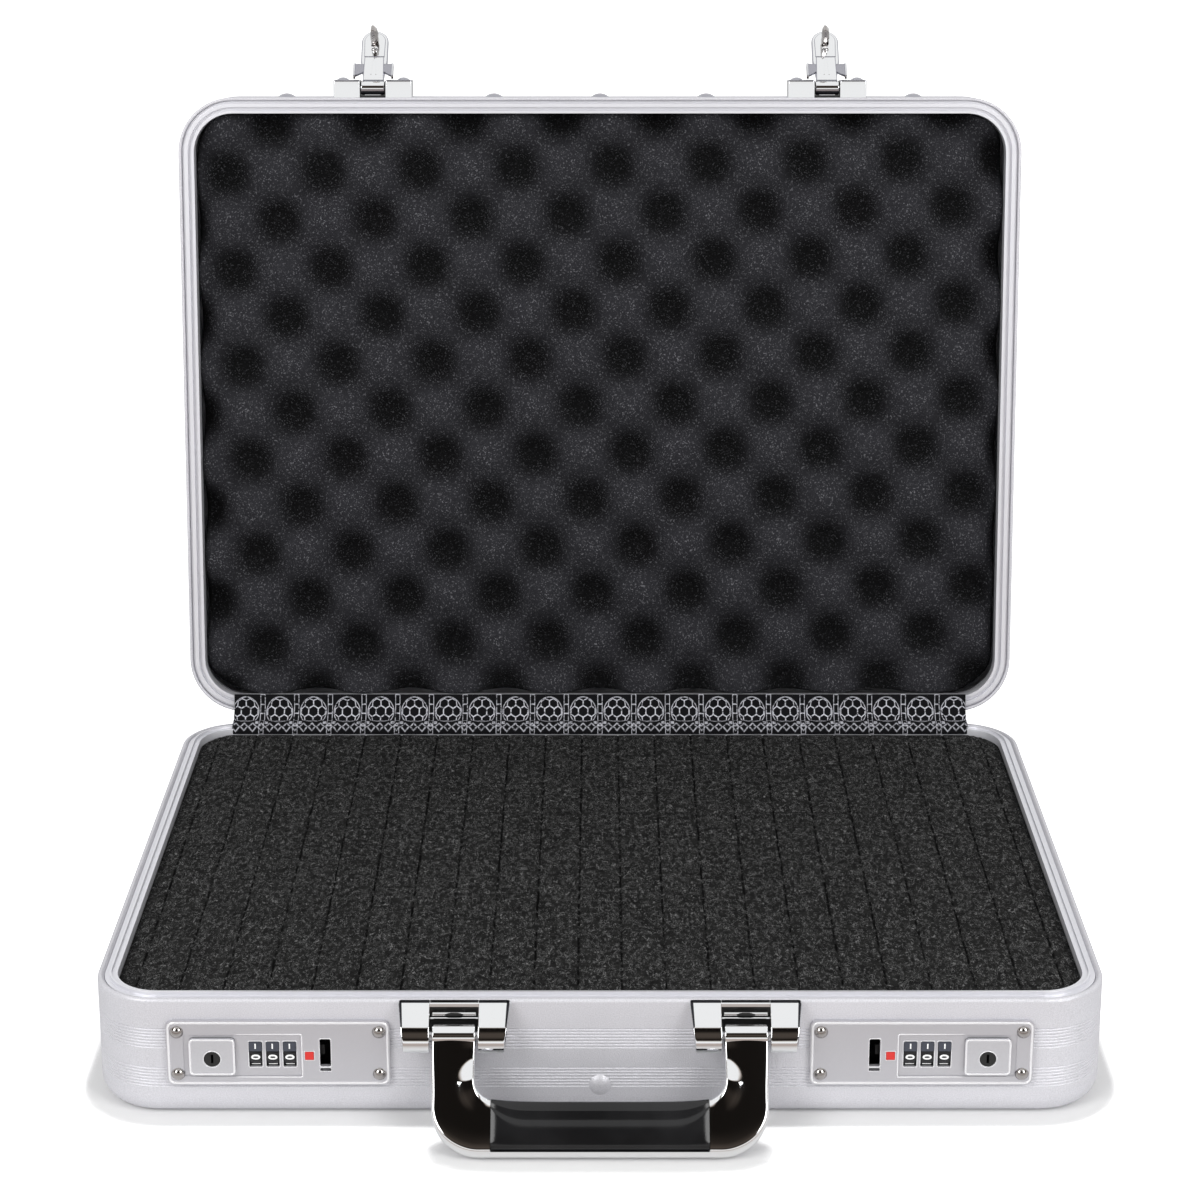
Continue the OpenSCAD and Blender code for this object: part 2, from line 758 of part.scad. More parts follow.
module plate_holes() {
    // Windows of the dial wheels
    for (i = [-1:1]) translate([-wheel_x + i * wheel_step - window_w / 2, face_y - cut, window_low])
        cube([window_w, plate_t + 2 * cut, window_top - window_low]);
    // Slot for the hasp blade and the small window under it
    translate([-hasp_x - slot_w / 2, face_y - cut, slot_z - slot_h / 2])
        cube([slot_w, plate_t + 2 * cut, slot_h]);
    translate([-hasp_x - slot_w / 2, face_y - cut, slot_z - slot_h / 2 - 2.2])
        cube([slot_w, plate_t + 2 * cut, 1.4]);
    // Square hole of the red indicator
    translate([-pip_x, face_y, pip_z]) cube([pip, 2 * plate_t + 2 * cut, pip], center = true);
    // Long hole for the stem of the button
    for (x = [0, button_go]) translate([-button_x - x, 0, key_z]) rotate([90, 0, 0])
        cylinder(h = case_l, r = stem_r + side_gap, $fn = small_fn);
    translate([-button_x - button_go, face_y - cut, key_z - stem_r - side_gap])
        cube([button_go, plate_t + 2 * cut, 2 * (stem_r + side_gap)]);
}

module lock_plate(side) {
    both_sides(side) difference() {
        translate([-plate_x, front, plate_z]) rotate([90, 0, 0])
            linear_extrude(plate_t) round_rect(plate_w, plate_h, 3);
        translate([-recess_x - recess_w, face_y - cut, recess_z])
            cube([recess_w, recess_d + cut, recess_h]);
        plate_holes();
        lock_rivet_places() wall_hole(lock_shank_r);
    }
}

module lock_plate_left() {
    color(satin) lock_plate(-1);
}

module lock_plate_right() {
    color(satin) lock_plate(1);
}

module lock_case(side) {
    in = front + wall_t;
    both_sides(side) difference() {
        union() {
            translate([-case_x - case_w_in / 2 - case_t, in, case_low])
                cube([case_w_in + 2 * case_t, case_back - wall_t, case_h]);
            translate([-case_x - case_w_in / 2 - case_lip, in, case_low])
                cube([case_w_in + 2 * case_lip, case_t, case_h]);
        }
        difference() {
            translate([-case_x - case_w_in / 2, in - cut, case_low + case_t])
                cube([case_w_in, case_back - wall_t - case_t + cut, case_h - 2 * case_t]);
            // Ribs that carry the dial axle
            for (x = [-rib_span - rib_t, rib_span])
                translate([-wheel_x + x, wheel_y - rib_past, case_low])
                    cube([rib_t, case_back, wheel_z + rib_past - case_low]);
        }
        translate([-wheel_x, wheel_y, wheel_z])
            rod_x(axle_r + run_fit, -rib_span - rib_t - cut, rib_span + rib_t + cut);
        lock_rivet_places() wall_hole(lock_shank_r);
    }
}

module lock_case_left() {
    color(satin) lock_case(-1);
}

module lock_case_right() {
    color(satin) lock_case(1);
}

module lock_rivets(side) {
    both_sides(side) lock_rivet_places() translate([0, -plate_t, 0])
        rivet(rivet_r, rivet_h, lock_shank_r, plate_t + wall_t + case_t);
}

module lock_rivets_left() {
    color(chrome) lock_rivets(-1);
}

module lock_rivets_right() {
    color(chrome) lock_rivets(1);
}

module dial_axle(side) {
    both_sides(side) translate([-wheel_x, wheel_y, wheel_z])
        rod_x(axle_r, -rib_span - rib_t, rib_span + rib_t);
}

module dial_axle_left() {
    color(chrome) dial_axle(-1);
}

module dial_axle_right() {
    color(chrome) dial_axle(1);
}

// The fixed index pieces that close the upper half of each dial window
module dial_index(side) {
    both_sides(side) for (i = [-1:1])
        translate([-wheel_x + i * wheel_step - window_w / 2 + nest_gap, face_y - 0.2, index_low])
            cube([window_w - 2 * nest_gap, 1, window_top - nest_gap - index_low]);
}

module dial_index_left() {
    color(black) dial_index(-1);
}

module dial_index_right() {
    color(black) dial_index(1);
}

module dial_wheel(side, i) {
    both_sides(side) translate([-wheel_x + (i - 2) * wheel_step, wheel_y, wheel_z]) difference() {
        union() {
            rod_x(wheel_r, -wheel_w / 2, wheel_w / 2, round_fn);
            rod_x(2.4, -wheel_step / 2 + side_gap / 2, wheel_step / 2 - side_gap / 2);
        }
        rod_x(axle_r + run_fit, -wheel_step, wheel_step);
    }
}

module search_indicator(side) {
    both_sides(side) translate([-pip_x, face_y + (plate_t - 0.3) / 2, pip_z])
        cube([pip - 2 * nest_gap, plate_t + 0.3, pip - 2 * nest_gap], center = true);
}

module search_indicator_left() {
    color(red) search_indicator(-1);
}

module search_indicator_right() {
    color(red) search_indicator(1);
}

module release_button(side) {
    button_y = face_y + recess_d - side_gap / 2;
    top = slide_z + slide_h;
    leg_x = hasp_x + slot_w / 2 + 0.6;
    both_sides(side) difference() {
        union() {
            translate([-button_x, button_y, button_z]) rotate([90, 0, 0])
                linear_extrude(button_out + recess_d - side_gap / 2) round_rect(button_w, button_h, 1.8);
            translate([-button_x, button_y - 0.5, key_z]) rotate([-90, 0, 0])
                cylinder(h = stem_l, r = stem_r, $fn = small_fn);
            translate([-button_x - 2.5, slide_y, key_z]) cube([5, slide_t, top - key_z]);
            translate([-button_x - 2.5, slide_y, slide_z]) cube([button_x + 2.5 - leg_x, slide_t, slide_h]);
            translate([-leg_x - 3, slide_y, slot_z - 3]) cube([3, slide_t, top - slot_z + 3]);
            translate([-leg_x - 1, slide_y, slot_z - 3]) cube([1 + 0.6 + nose_in, slide_t, nose_h]);
        }
        translate([-button_x, 0, key_z]) rotate([90, 0, 0])
            cylinder(h = case_l, r = key_r + run_fit, $fn = small_fn);
    }
}

module release_button_left() {
    color(satin) release_button(-1);
}

module release_button_right() {
    color(satin) release_button(1);
}

module key_cylinder(side) {
    y0 = face_y - button_out + 0.2;
    both_sides(side) translate([-button_x, 0, key_z]) difference() {
        union() {
            translate([0, y0, 0]) rotate([-90, 0, 0]) cylinder(h = key_l, r = key_r, $fn = small_fn);
            translate([-1, y0 + key_l - 0.2, -1]) cube([2, 1.2, 5.4]);
        }
        translate([-0.5, y0 - cut, -2]) cube([1, 8 + cut, 4]);
    }
}

module key_cylinder_left() {
    color(black) key_cylinder(-1);
}

module key_cylinder_right() {
    color(black) key_cylinder(1);
}

// The return spring lies between the end of the case and the button's stem
module button_spring(side) {
    x0 = case_x + case_w_in / 2 - side_gap;
    x1 = button_x + stem_r + side_gap;
    both_sides(side) translate([0, front + 8, key_z]) difference() {
        rod_x(2, -x0, -x1);
        rod_x(1.5, -x0 - cut, -x1 + cut);
    }
}

module button_spring_left() {
    color(chrome) button_spring(-1);
}

module button_spring_right() {
    color(chrome) button_spring(1);
}

// Hasps, drawn latched on the shut lid and swung open on the open lid

module on_hasp(side) {
    on_open_lid() both_sides(side) translate([-hasp_x, hasp_y, hasp_z])
        rotate([-hasp_open, 0, 0]) children();
}

// Screws of the hasp brackets, in the lid's tray frame
module screw_places() {
    for (x = [-1, 1])
        translate([-hasp_x + x * (ear_w / 2 - 4.6), front, ear_low - ear_h / 2]) children();
}

module hasp_bracket(side) {
    lid_tray() both_sides(side) difference() {
        translate([-hasp_x - ear_w / 2, front - ear_t, ear_low - ear_h]) cube([ear_w, ear_t, ear_h]);
        translate([-hasp_x - ear_gap / 2, front - ear_t - cut, ear_low - ear_h - cut])
            cube([ear_gap, ear_t - ear_back + cut, ear_h + 2 * cut]);
        translate([-hasp_x, hasp_y, lid_d + hasp_down])
            rod_x(hasp_pin_r + run_fit, -ear_w / 2 + pin_in, ear_w / 2 - pin_in);
        screw_places() translate([0, -ear_t - cut, 0]) rotate([-90, 0, 0])
            cylinder(h = ear_t + 2 * cut, r = screw_shank_r + nest_gap, $fn = small_fn);
        translate([-hasp_x, front - ear_t, ear_low]) rotate([45, 0, 0])
            cube([ear_w + cut, 2, 2], center = true);
    }
}

module hasp_bracket_left() {
    color(chrome) hasp_bracket(-1);
}

module hasp_bracket_right() {
    color(chrome) hasp_bracket(1);
}

module hasp_screws(side) {
    lid_tray() both_sides(side) screw_places() translate([0, -ear_t, 0])
        rivet(screw_head_r, screw_head_h, screw_shank_r, ear_t + wall_t);
}

module hasp_screws_left() {
    color(chrome) hasp_screws(-1);
}

module hasp_screws_right() {
    color(chrome) hasp_screws(1);
}

module hasp_pin(side) {
    on_hasp(side) rod_x(hasp_pin_r, -ear_w / 2 + pin_in + 0.2, ear_w / 2 - pin_in - 0.2);
}

module hasp_pin_left() {
    color(chrome) hasp_pin(-1);
}

module hasp_pin_right() {
    color(chrome) hasp_pin(1);
}

// A flat steel spring on the bracket's back that presses on the hasp knuckle
module hasp_spring(side) {
    lid_tray() both_sides(side)
        translate([-hasp_x - 4, front - ear_back - spring_t, ear_low - ear_h + 1])
                cube([8, spring_t, ear_h - 2]);
}

module hasp_spring_left() {
    color(satin) hasp_spring(-1);
}

module hasp_spring_right() {
    color(satin) hasp_spring(1);
}

// Drawn latched: the plate hangs down, the blade points in along +Y
module hasp(side) {
    knuckle_w = ear_gap - 2 * side_gap;
    neck = blade_t - 2 * nose_in + 1.4;
    on_hasp(side) difference() {
        union() {
            rod_x(hasp_knuckle_r - 0.8, -knuckle_w / 2, knuckle_w / 2, round_fn);
            translate([0, hasp_t / 2, 0]) rotate([90, 0, 0]) linear_extrude(hasp_t) {
                translate([-hasp_w / 2, -hasp_l + hasp_w / 2])
                    square([hasp_w, hasp_l - hasp_w / 2 - shoulder]);
                translate([0, -hasp_l + hasp_w / 2]) circle(hasp_w / 2, $fn = round_fn);
                translate([-knuckle_w / 2, -shoulder - 1]) square([knuckle_w, shoulder + 1]);
                polygon([[-shoulder_w / 2, -shoulder], [shoulder_w / 2, -shoulder],
                         [shoulder_w / 2, -shoulder - 6], [hasp_w / 2, -shoulder - 9.5],
                         [-hasp_w / 2, -shoulder - 9.5], [-shoulder_w / 2, -shoulder - 6]]);
            }
            translate([-blade_t / 2, 0, -blade_r - blade_h / 2]) cube([blade_t, blade_l - 3, blade_h]);
            translate([0, 0, -blade_r - blade_h / 2]) linear_extrude(blade_h)
                polygon([[-blade_t / 2, blade_l - 3.1], [blade_t / 2, blade_l - 3.1],
                         [0.4, blade_l], [-0.4, blade_l]]);
        }
        rod_x(hasp_pin_r + run_fit, -knuckle_w, knuckle_w);
        for (x = [-1, 1]) translate([x * (neck / 2 + 2) - 2, slide_y - hasp_y - 0.8, -blade_r - blade_h])
            cube([4, slide_t + 1.6, 2 * blade_h]);
    }
}

module hasp_left() {
    color(chrome) hasp(-1);
}

module hasp_right() {
    color(chrome) hasp(1);
}

base_side_band();
base_bottom_panel();
base_rim_frame();
base_foam_block();
base_front_rivet();
hinge_leaf_base();
hinge_pin();
hinge_rivets_base();
hinge_cover_strip();
handle_bracket_left();
handle_bracket_right();
handle_pin_left();
handle_pin_right();
lock_plate_left();
lock_plate_right();
lock_case_left();
lock_case_right();
lock_rivets_left();
lock_rivets_right();
dial_axle_left();
dial_axle_right();
dial_index_left();
dial_index_right();
search_indicator_left();
search_indicator_right();
button_spring_left();
button_spring_right();
lid_side_band();
lid_top_panel();
lid_rim_frame();
lid_foam_eggcrate();
lid_front_rivets();
hinge_leaf_lid();
hinge_rivets_lid();
hasp_bracket_left();
hasp_bracket_right();
hasp_screws_left();
hasp_screws_right();
hasp_pin_left();
hasp_pin_right();
hasp_spring_left();
hasp_spring_right();
hasp_left();
hasp_right();
handle_frame();
handle_grip();
release_button_left();
release_button_right();
key_cylinder_left();
key_cylinder_right();
color(black) dial_wheel(-1, 1);  // dial_wheel_left_1
color(black) dial_wheel(-1, 2);  // dial_wheel_left_2
color(black) dial_wheel(-1, 3);  // dial_wheel_left_3
color(black) dial_wheel(1, 1);  // dial_wheel_right_1
color(black) dial_wheel(1, 2);  // dial_wheel_right_2
color(black) dial_wheel(1, 3);  // dial_wheel_right_3
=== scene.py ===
"""Looks of the aluminium laptop hard case, built round its CAD frame. Metres, front towards -Y."""
import math
import random

import bmesh
import bpy
import numpy as np
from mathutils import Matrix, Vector


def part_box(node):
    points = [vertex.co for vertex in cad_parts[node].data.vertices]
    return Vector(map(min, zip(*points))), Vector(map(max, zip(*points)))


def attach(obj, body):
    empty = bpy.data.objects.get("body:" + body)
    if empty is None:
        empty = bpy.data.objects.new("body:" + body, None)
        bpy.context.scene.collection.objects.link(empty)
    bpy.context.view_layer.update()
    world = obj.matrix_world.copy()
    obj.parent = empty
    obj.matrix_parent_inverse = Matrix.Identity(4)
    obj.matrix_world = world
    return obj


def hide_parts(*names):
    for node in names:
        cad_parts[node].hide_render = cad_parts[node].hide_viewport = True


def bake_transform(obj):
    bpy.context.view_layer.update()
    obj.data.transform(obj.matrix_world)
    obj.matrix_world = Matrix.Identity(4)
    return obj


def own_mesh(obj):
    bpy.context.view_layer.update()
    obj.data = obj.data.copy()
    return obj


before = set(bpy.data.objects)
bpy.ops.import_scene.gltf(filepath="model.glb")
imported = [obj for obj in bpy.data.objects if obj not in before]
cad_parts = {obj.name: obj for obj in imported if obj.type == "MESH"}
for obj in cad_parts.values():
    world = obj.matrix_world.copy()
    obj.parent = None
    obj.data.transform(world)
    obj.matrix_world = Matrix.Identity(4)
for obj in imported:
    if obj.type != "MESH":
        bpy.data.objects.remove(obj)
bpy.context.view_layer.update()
scene = bpy.context.scene
MM = 0.001
SIDES = (("left", -1), ("right", 1))

# Sizes and places of the CAD, in millimetres and degrees. X is the distance from the middle.
CASE_W, CASE_L, BASE_D, LID_D, GAP = 430, 320, 55, 40, 0.5
HINGE, OPEN = (164, 55.25), 97.5
FRONT, REAR, CORNER_R = -160, 160, 28
RIM_W, LID_RIM_W, FOAM_GAP = 8.7, 8, 0.3
ARM_X, PIN_Y, PIN_Z, HANDLE_TILT = 61, -168.0, 42.3, 37.5
PLATE_X, FACE_Y, PLATE_Z = 135.4, -162.0, 31.15
DIAL_X, DIAL_PITCH, BUTTON_X, RED_X = 137.8, 7.2, 163.2, 122.3
HASP_X, HASP_Y, HASP_Z, HASP_SWING = 115.6, -164.6, 60.0, 130


# Camera

def make_camera():
    data = bpy.data.cameras.new("camera")
    data.lens = 86.88
    data.sensor_width = 36
    data.shift_y = -0.0833
    cam = bpy.data.objects.new("camera", data)
    cam.location = (0, -1.261, 0.607)
    cam.rotation_euler = (math.radians(90 - 16.84), 0, 0)
    scene.collection.objects.link(cam)
    scene.camera = cam


# Shader expressions

def new_node(tree, kind, **inputs):
    """A shader node whose inputs start at plain values."""
    node = tree.nodes.new("ShaderNode" + kind)
    for name, v in inputs.items():
        node.inputs[name.replace("_", " ")].default_value = v
    return node


class Val:
    """A shader socket that Python's operators combine through Math nodes."""

    def __init__(self, tree, socket):
        self.tree, self.socket = tree, socket

    def op(self, kind, *others):
        node = new_node(self.tree, "Math")
        node.operation = kind
        for i, v in enumerate((self, *others)):
            if isinstance(v, Val):
                self.tree.links.new(v.socket, node.inputs[i])
            else:
                node.inputs[i].default_value = v
        return Val(self.tree, node.outputs[0])

    def __add__(self, o):
        return self.op("ADD", o)

    def __sub__(self, o):
        return self.op("SUBTRACT", o)

    def __mul__(self, o):
        return self.op("MULTIPLY", o)

    def __truediv__(self, o):
        return self.op("DIVIDE", o)

    def step(self, low, high):
        """0 below low and 1 above high, smooth between; swapped ends turn it round."""
        node = new_node(self.tree, "MapRange", From_Min=low, From_Max=high)
        node.interpolation_type = "SMOOTHSTEP"
        self.tree.links.new(self.socket, node.inputs["Value"])
        return Val(self.tree, node.outputs["Result"])


class Material:
    """A Principled material with helpers for procedural colour, roughness and bump."""

    def __init__(self, name, color, rough, metal=0.0, **sockets):
        self.mat = bpy.data.materials.new(name)
        self.mat.use_nodes = True
        self.tree = self.mat.node_tree
        self.bsdf = self.tree.nodes["Principled BSDF"]
        self.bsdf.inputs["Base Color"].default_value = (*color, 1)
        self.bsdf.inputs["Roughness"].default_value = rough
        self.bsdf.inputs["Metallic"].default_value = metal
        for k, v in sockets.items():
            self.bsdf.inputs[k.replace("_", " ")].default_value = v
        self.place = new_node(self.tree, "TexCoord").outputs["Object"]

    def link(self, a, b):
        self.tree.links.new(a.socket if isinstance(a, Val) else a, b)

    def axes(self):
        node = new_node(self.tree, "SeparateXYZ")
        self.link(self.place, node.inputs[0])
        return [Val(self.tree, node.outputs[i]) for i in range(3)]

    def noise(self, scale, detail=2.0, rough=0.5, at=None, distort=0.0):
        node = new_node(self.tree, "TexNoise", Scale=scale, Detail=detail, Roughness=rough,
                        Distortion=distort)
        self.link(at or self.place, node.inputs["Vector"])
        return Val(self.tree, node.outputs["Fac"])

    def stretched(self, x, y, z):
        node = new_node(self.tree, "Mapping", Scale=(x, y, z))
        self.link(self.place, node.inputs["Vector"])
        return node.outputs[0]

    def attribute(self, name):
        node = new_node(self.tree, "Attribute")
        node.attribute_name = name
        return Val(self.tree, node.outputs["Fac"])

    def mix(self, fac, a, b):
        node = new_node(self.tree, "Mix")
        node.data_type = "RGBA"
        for i, c in ((6, a), (7, b)):
            if isinstance(c, tuple):
                node.inputs[i].default_value = (*c, 1)
            else:
                self.link(c, node.inputs[i])
        self.link(fac, node.inputs[0])
        return node.outputs[2]

    def color(self, socket):
        self.link(socket, self.bsdf.inputs["Base Color"])
        return self

    def rough(self, fac, low, high):
        node = new_node(self.tree, "MapRange", To_Min=low, To_Max=high)
        self.link(fac, node.inputs["Value"])
        self.link(node.outputs[0], self.bsdf.inputs["Roughness"])
        return self

    def bump(self, height, distance):
        node = new_node(self.tree, "Bump", Distance=distance, Strength=1.0)
        self.link(height, node.inputs["Height"])
        self.link(node.outputs[0], self.bsdf.inputs["Normal"])
        return self


def metal(name, tone, rough, metallic=1.0, grain=900.0, speck=0.05, bump=0.00002):
    """A metal whose colour and gloss vary a little with a fine grain and broad handling marks."""
    m = Material(name, tone, rough, metallic)
    fine = m.noise(grain, 2.0, 0.6)
    broad = m.noise(14.0, 3.0)
    shade = (fine - 0.5) * speck * 2.0 + (broad - 0.5) * speck + 0.5
    dark = tuple(c * (1 - 2 * speck) for c in tone)
    light = tuple(min(1.0, c * (1 + 2 * speck)) for c in tone)
    m.color(m.mix(shade.step(0.3, 0.7), dark, light))
    m.rough(broad, rough * 0.85, rough * 1.15)
    return m.bump(fine, bump)


# Name, colour, roughness, metallic, grain scale, colour variation and bump height in metres
METALS = (
    ("shell", (0.635, 0.63, 0.665), 0.44, 0.35, 1900.0, 0.13, 0.00010),
    ("rim", (0.76, 0.76, 0.80), 0.33, 0.5, 700.0, 0.03, 0.00001),
    ("chrome", (0.86, 0.87, 0.88), 0.05, 1.0, 60.0, 0.01, 0.00001),
    # Dark copy of chrome: painted dark reflection on the bracket bevels and the lowest knuckle faces.
    ("dark_chrome", (0.03, 0.03, 0.035), 0.15, 0.8, 60.0, 0.01, 0.00001),
    # Grey copy of chrome: painted shade on hasp bevels, hasp wings, hasp block bevels and knuckle undersides,
    # and the grey of screw and rivet domes.
    ("hasp_edge", (0.42, 0.42, 0.46), 0.22, 1.0, 200.0, 0.02, 0.00001),
    ("steel", (0.55, 0.55, 0.57), 0.3),
    ("lock_zinc", (0.55, 0.545, 0.575), 0.33, 0.6, 1100.0, 0.04),
    # Lighter copy of the lock metal for the raised edge lines: painted highlight.
    ("bright_edge", (0.88, 0.88, 0.90), 0.25, 0.5, 900.0, 0.02),
    ("smoke", (0.055, 0.06, 0.078), 0.2, 0.2, 300.0, 0.1),
    ("rivet", (0.42, 0.40, 0.39), 0.14, 1.0, 300.0, 0.02),
    ("red", (0.60, 0.028, 0.022), 0.35, 0.0),
    ("gloss_black", (0.006, 0.006, 0.008), 0.22, 0.0),
    # Black of the lock case and key cylinder, and of the pieces that paint the shade in the bracket gaps.
    ("key_black", (0.02, 0.02, 0.02), 0.3, 0.3, 900.0, 0.1),
    ("white_print", (0.85, 0.85, 0.84), 0.5, 0.0),
)


def make_materials():
    mats = {row[0]: metal(*row) for row in METALS}
    mats["button"] = button_material()
    mats["grip"] = grip_material()
    mats["foam_lid"] = foam_lid_material()
    mats["foam_base"] = foam_base_material()
    mats["cloth"] = cloth_material()
    return mats


def button_material():
    """Satin zinc in front of the lock plate, black on the latch parts behind it."""
    m = Material("button", (0.60, 0.60, 0.63), 0.3, 0.6)
    _, y, _ = m.axes()
    fine = m.noise(900.0)
    zinc = m.mix(fine, (0.57, 0.57, 0.60), (0.63, 0.63, 0.66))
    face = FACE_Y * MM
    m.color(m.mix(y.step(face, face + 0.0003), zinc, (0.01, 0.01, 0.01)))
    m.rough(fine, 0.26, 0.34)
    return m.bump(fine, 0.00002)


def grip_material():
    m = Material("grip", (0.016, 0.016, 0.017), 0.2, Specular_IOR_Level=0.42)
    grain = m.noise(1600.0, 3.0, 0.6)
    smears = m.noise(30.0, 3.0)
    m.color(m.mix(smears.step(0.35, 0.75), (0.005, 0.005, 0.0055), (0.011, 0.011, 0.012)))
    m.rough(smears, 0.15, 0.25)
    return m.bump(grain, 0.00003)


def fibres(m, scale, width, at=None):
    """Thin curling lines: where a warped noise crosses its middle."""
    lines = m.noise(scale, 1.0, 0.5, at, 1.6) - 0.5
    return lines.op("ABSOLUTE").step(width, 0.0)


def foam_lid_material():
    m = Material("foam_lid", (0.03, 0.03, 0.032), 1.0, Specular_IOR_Level=0.08)
    depth = m.attribute("depth")
    specks = m.noise(1150.0, 1.0, 0.6).step(0.60, 0.70)
    threads = fibres(m, 420.0, 0.035) * m.noise(640.0, 1.0).step(0.50, 0.62)
    mottle = m.noise(160.0, 3.0)
    crest = m.mix(mottle, (0.016, 0.016, 0.0185), (0.027, 0.027, 0.031))
    # Painted shade: the valleys are darker by their depth, and their light specks and threads fade with it.
    base = m.mix(depth.step(0.25, 0.90), crest, (0.004, 0.004, 0.0043))
    light = specks.op("MAXIMUM", threads * 0.6) * (depth * -0.75 + 0.95)
    m.color(m.mix(light, base, (0.13, 0.13, 0.14)))
    return m.bump(m.noise(1100.0, 2.0), 0.0003)


def foam_base_material():
    m = Material("foam_base", (0.035, 0.035, 0.034), 1.0, Specular_IOR_Level=0.08)
    drawn = m.stretched(1.0, 0.5, 1.0)
    curls = fibres(m, 470.0, 0.04, drawn) * m.noise(420.0, 1.0, 0.5, drawn).step(0.46, 0.54)
    fine = fibres(m, 820.0, 0.045, drawn) * m.noise(700.0, 1.0, 0.5, drawn).step(0.48, 0.58)
    mottle = m.noise(240.0, 3.0, 0.7)
    base = m.mix(mottle.step(0.3, 0.7), (0.008, 0.008, 0.008), (0.019, 0.019, 0.0185))
    # Painted shade in the cuts: where the foam is cut it is in places near black and shows no fibres.
    cut = (m.attribute("depth") * 2.2).op("MINIMUM", 1.0) * m.noise(230.0, 2.0).step(0.42, 0.54)
    light = curls.op("MAXIMUM", fine * 0.7) * (cut * -1.0 + 1.0)
    wear_and_cut_shade = m.mix(cut, base, (0.002, 0.002, 0.002))
    m.color(m.mix(light, wear_and_cut_shade, (0.19, 0.19, 0.19)))
    return m.bump(curls + m.noise(900.0, 2.0) * 0.6, 0.0002)


def cloth_material():
    """Black cloth printed with a light net: hexagons on round balls, and ladders between the balls."""
    m = Material("cloth", (0.02, 0.02, 0.022), 0.85, 0.0, Specular_IOR_Level=0.1)
    run = m.attribute("run")
    u, _, _ = m.axes()
    ball_pitch = 0.0177
    across = (u / ball_pitch).op("WRAP", 1.0, 0.0) - 0.5
    along = run * 1.25 - 0.80
    side = across.op("ABSOLUTE")
    r = (across * across + along * along).op("SQRT")
    swell = r.op("MINIMUM", 0.40) * 2.3
    bulge = swell.op("ARCSINE") / (swell + 0.02)
    hexes = hex_edge(m, across * bulge * 3.7, along * bulge * 3.7)
    net = hexes.step(0.085, 0.035) * r.step(0.39, 0.36)
    ring = (r - 0.385).op("ABSOLUTE").step(0.018, 0.006)
    rails = (side - 0.435).op("ABSOLUTE").step(0.014, 0.006)
    rungs = (run * 5.0).op("WRAP", 0.5, -0.5).op("ABSOLUTE").step(0.09, 0.04) * side.step(0.42, 0.44)
    knots = rungs * (side - 0.435).op("ABSOLUTE").step(0.06, 0.02)
    zigzag = (across * 2.0 + 0.5).op("WRAP", 0.5, -0.5).op("ABSOLUTE")
    hem = (run - zigzag * 0.40 - 0.06).op("ABSOLUTE").step(0.028, 0.012) * run.step(0.36, 0.30)
    hem = hem.op("MAXIMUM", (run + zigzag * 0.36 - 0.26).op("ABSOLUTE").step(0.026, 0.012) * 0.8)
    crown = (side - 0.36).op("ABSOLUTE").step(0.06, 0.03) * (run - 0.30).op("ABSOLUTE").step(0.07, 0.04)
    print_ = net.op("MAXIMUM", ring * 0.8).op("MAXIMUM", rails.op("MAXIMUM", rungs) * 0.8)
    print_ = print_.op("MAXIMUM", knots).op("MAXIMUM", hem * 0.7).op("MAXIMUM", crown)
    wear_and_cut_shade = m.noise(900.0, 2.0).step(0.25, 0.55)
    m.color(m.mix(print_ * wear_and_cut_shade, (0.005, 0.005, 0.006), (0.55, 0.55, 0.60)))
    return m.bump(m.noise(2500.0, 1.0), 0.00005)


def hex_edge(m, x, y):
    """Distance to the nearest edge in a net of hexagons one unit wide."""
    half, row = 0.5, math.sqrt(3)
    ax, ay = x.op("WRAP", half, -half), y.op("WRAP", row / 2, -row / 2)
    bx, by = (x + half).op("WRAP", half, -half), (y + row / 2).op("WRAP", row / 2, -row / 2)
    nearer = (ax * ax + ay * ay).op("LESS_THAN", bx * bx + by * by)
    gx = (nearer * (ax - bx) + bx).op("ABSOLUTE")
    gy = (nearer * (ay - by) + by).op("ABSOLUTE")
    return (gx.op("MAXIMUM", gx * 0.5 + gy * (row / 2)) * -1.0) + half


# Mesh helpers

def new_piece(name, verts, faces, material, body=None, slot=None):
    mesh = bpy.data.meshes.new(name)
    mesh.from_pydata([tuple(v) for v in verts], [], faces)
    mesh.update()
    mesh.shade_smooth()
    o = bpy.data.objects.new(name, mesh)
    scene.collection.objects.link(o)
    mesh.materials.append(material.mat)
    if body:
        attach(o, body)
    return o


def set_values(o, name, values):
    """Stores one number for each vertex, which a material reads by its name."""
    a = o.data.attributes.new(name, "FLOAT", "POINT")
    a.data.foreach_set("value", np.asarray(values, np.float32))


def grid_block(top, low):
    """A closed block from a grid of top points, with straight sides down to the points of low."""
    ny, nx = top.shape[:2]
    ring = [(0, i) for i in range(nx)] + [(j, nx - 1) for j in range(1, ny)]
    ring += [(ny - 1, i) for i in range(nx - 2, -1, -1)] + [(j, 0) for j in range(ny - 2, 0, -1)]
    verts = [tuple(p) for row in top for p in row]
    n = len(verts)
    verts += [tuple(low[j, i]) for j, i in ring]
    faces = []
    for j in range(ny - 1):
        for i in range(nx - 1):
            a = j * nx + i
            faces.append((a, a + 1, a + nx + 1, a + nx))
    m = len(ring)
    for k in range(m):
        a, b = ring[k], ring[(k + 1) % m]
        faces.append((b[0] * nx + b[1], a[0] * nx + a[1], n + k, n + (k + 1) % m))
    faces.append(tuple(n + k for k in range(m - 1, -1, -1)))
    return verts, faces


def turned(p, about, degrees):
    """The (y, z) point p turned round the point about."""
    a = math.radians(degrees)
    dy, dz = p[0] - about[0], p[1] - about[1]
    return (about[0] + dy * math.cos(a) - dz * math.sin(a),
            about[1] + dy * math.sin(a) + dz * math.cos(a))


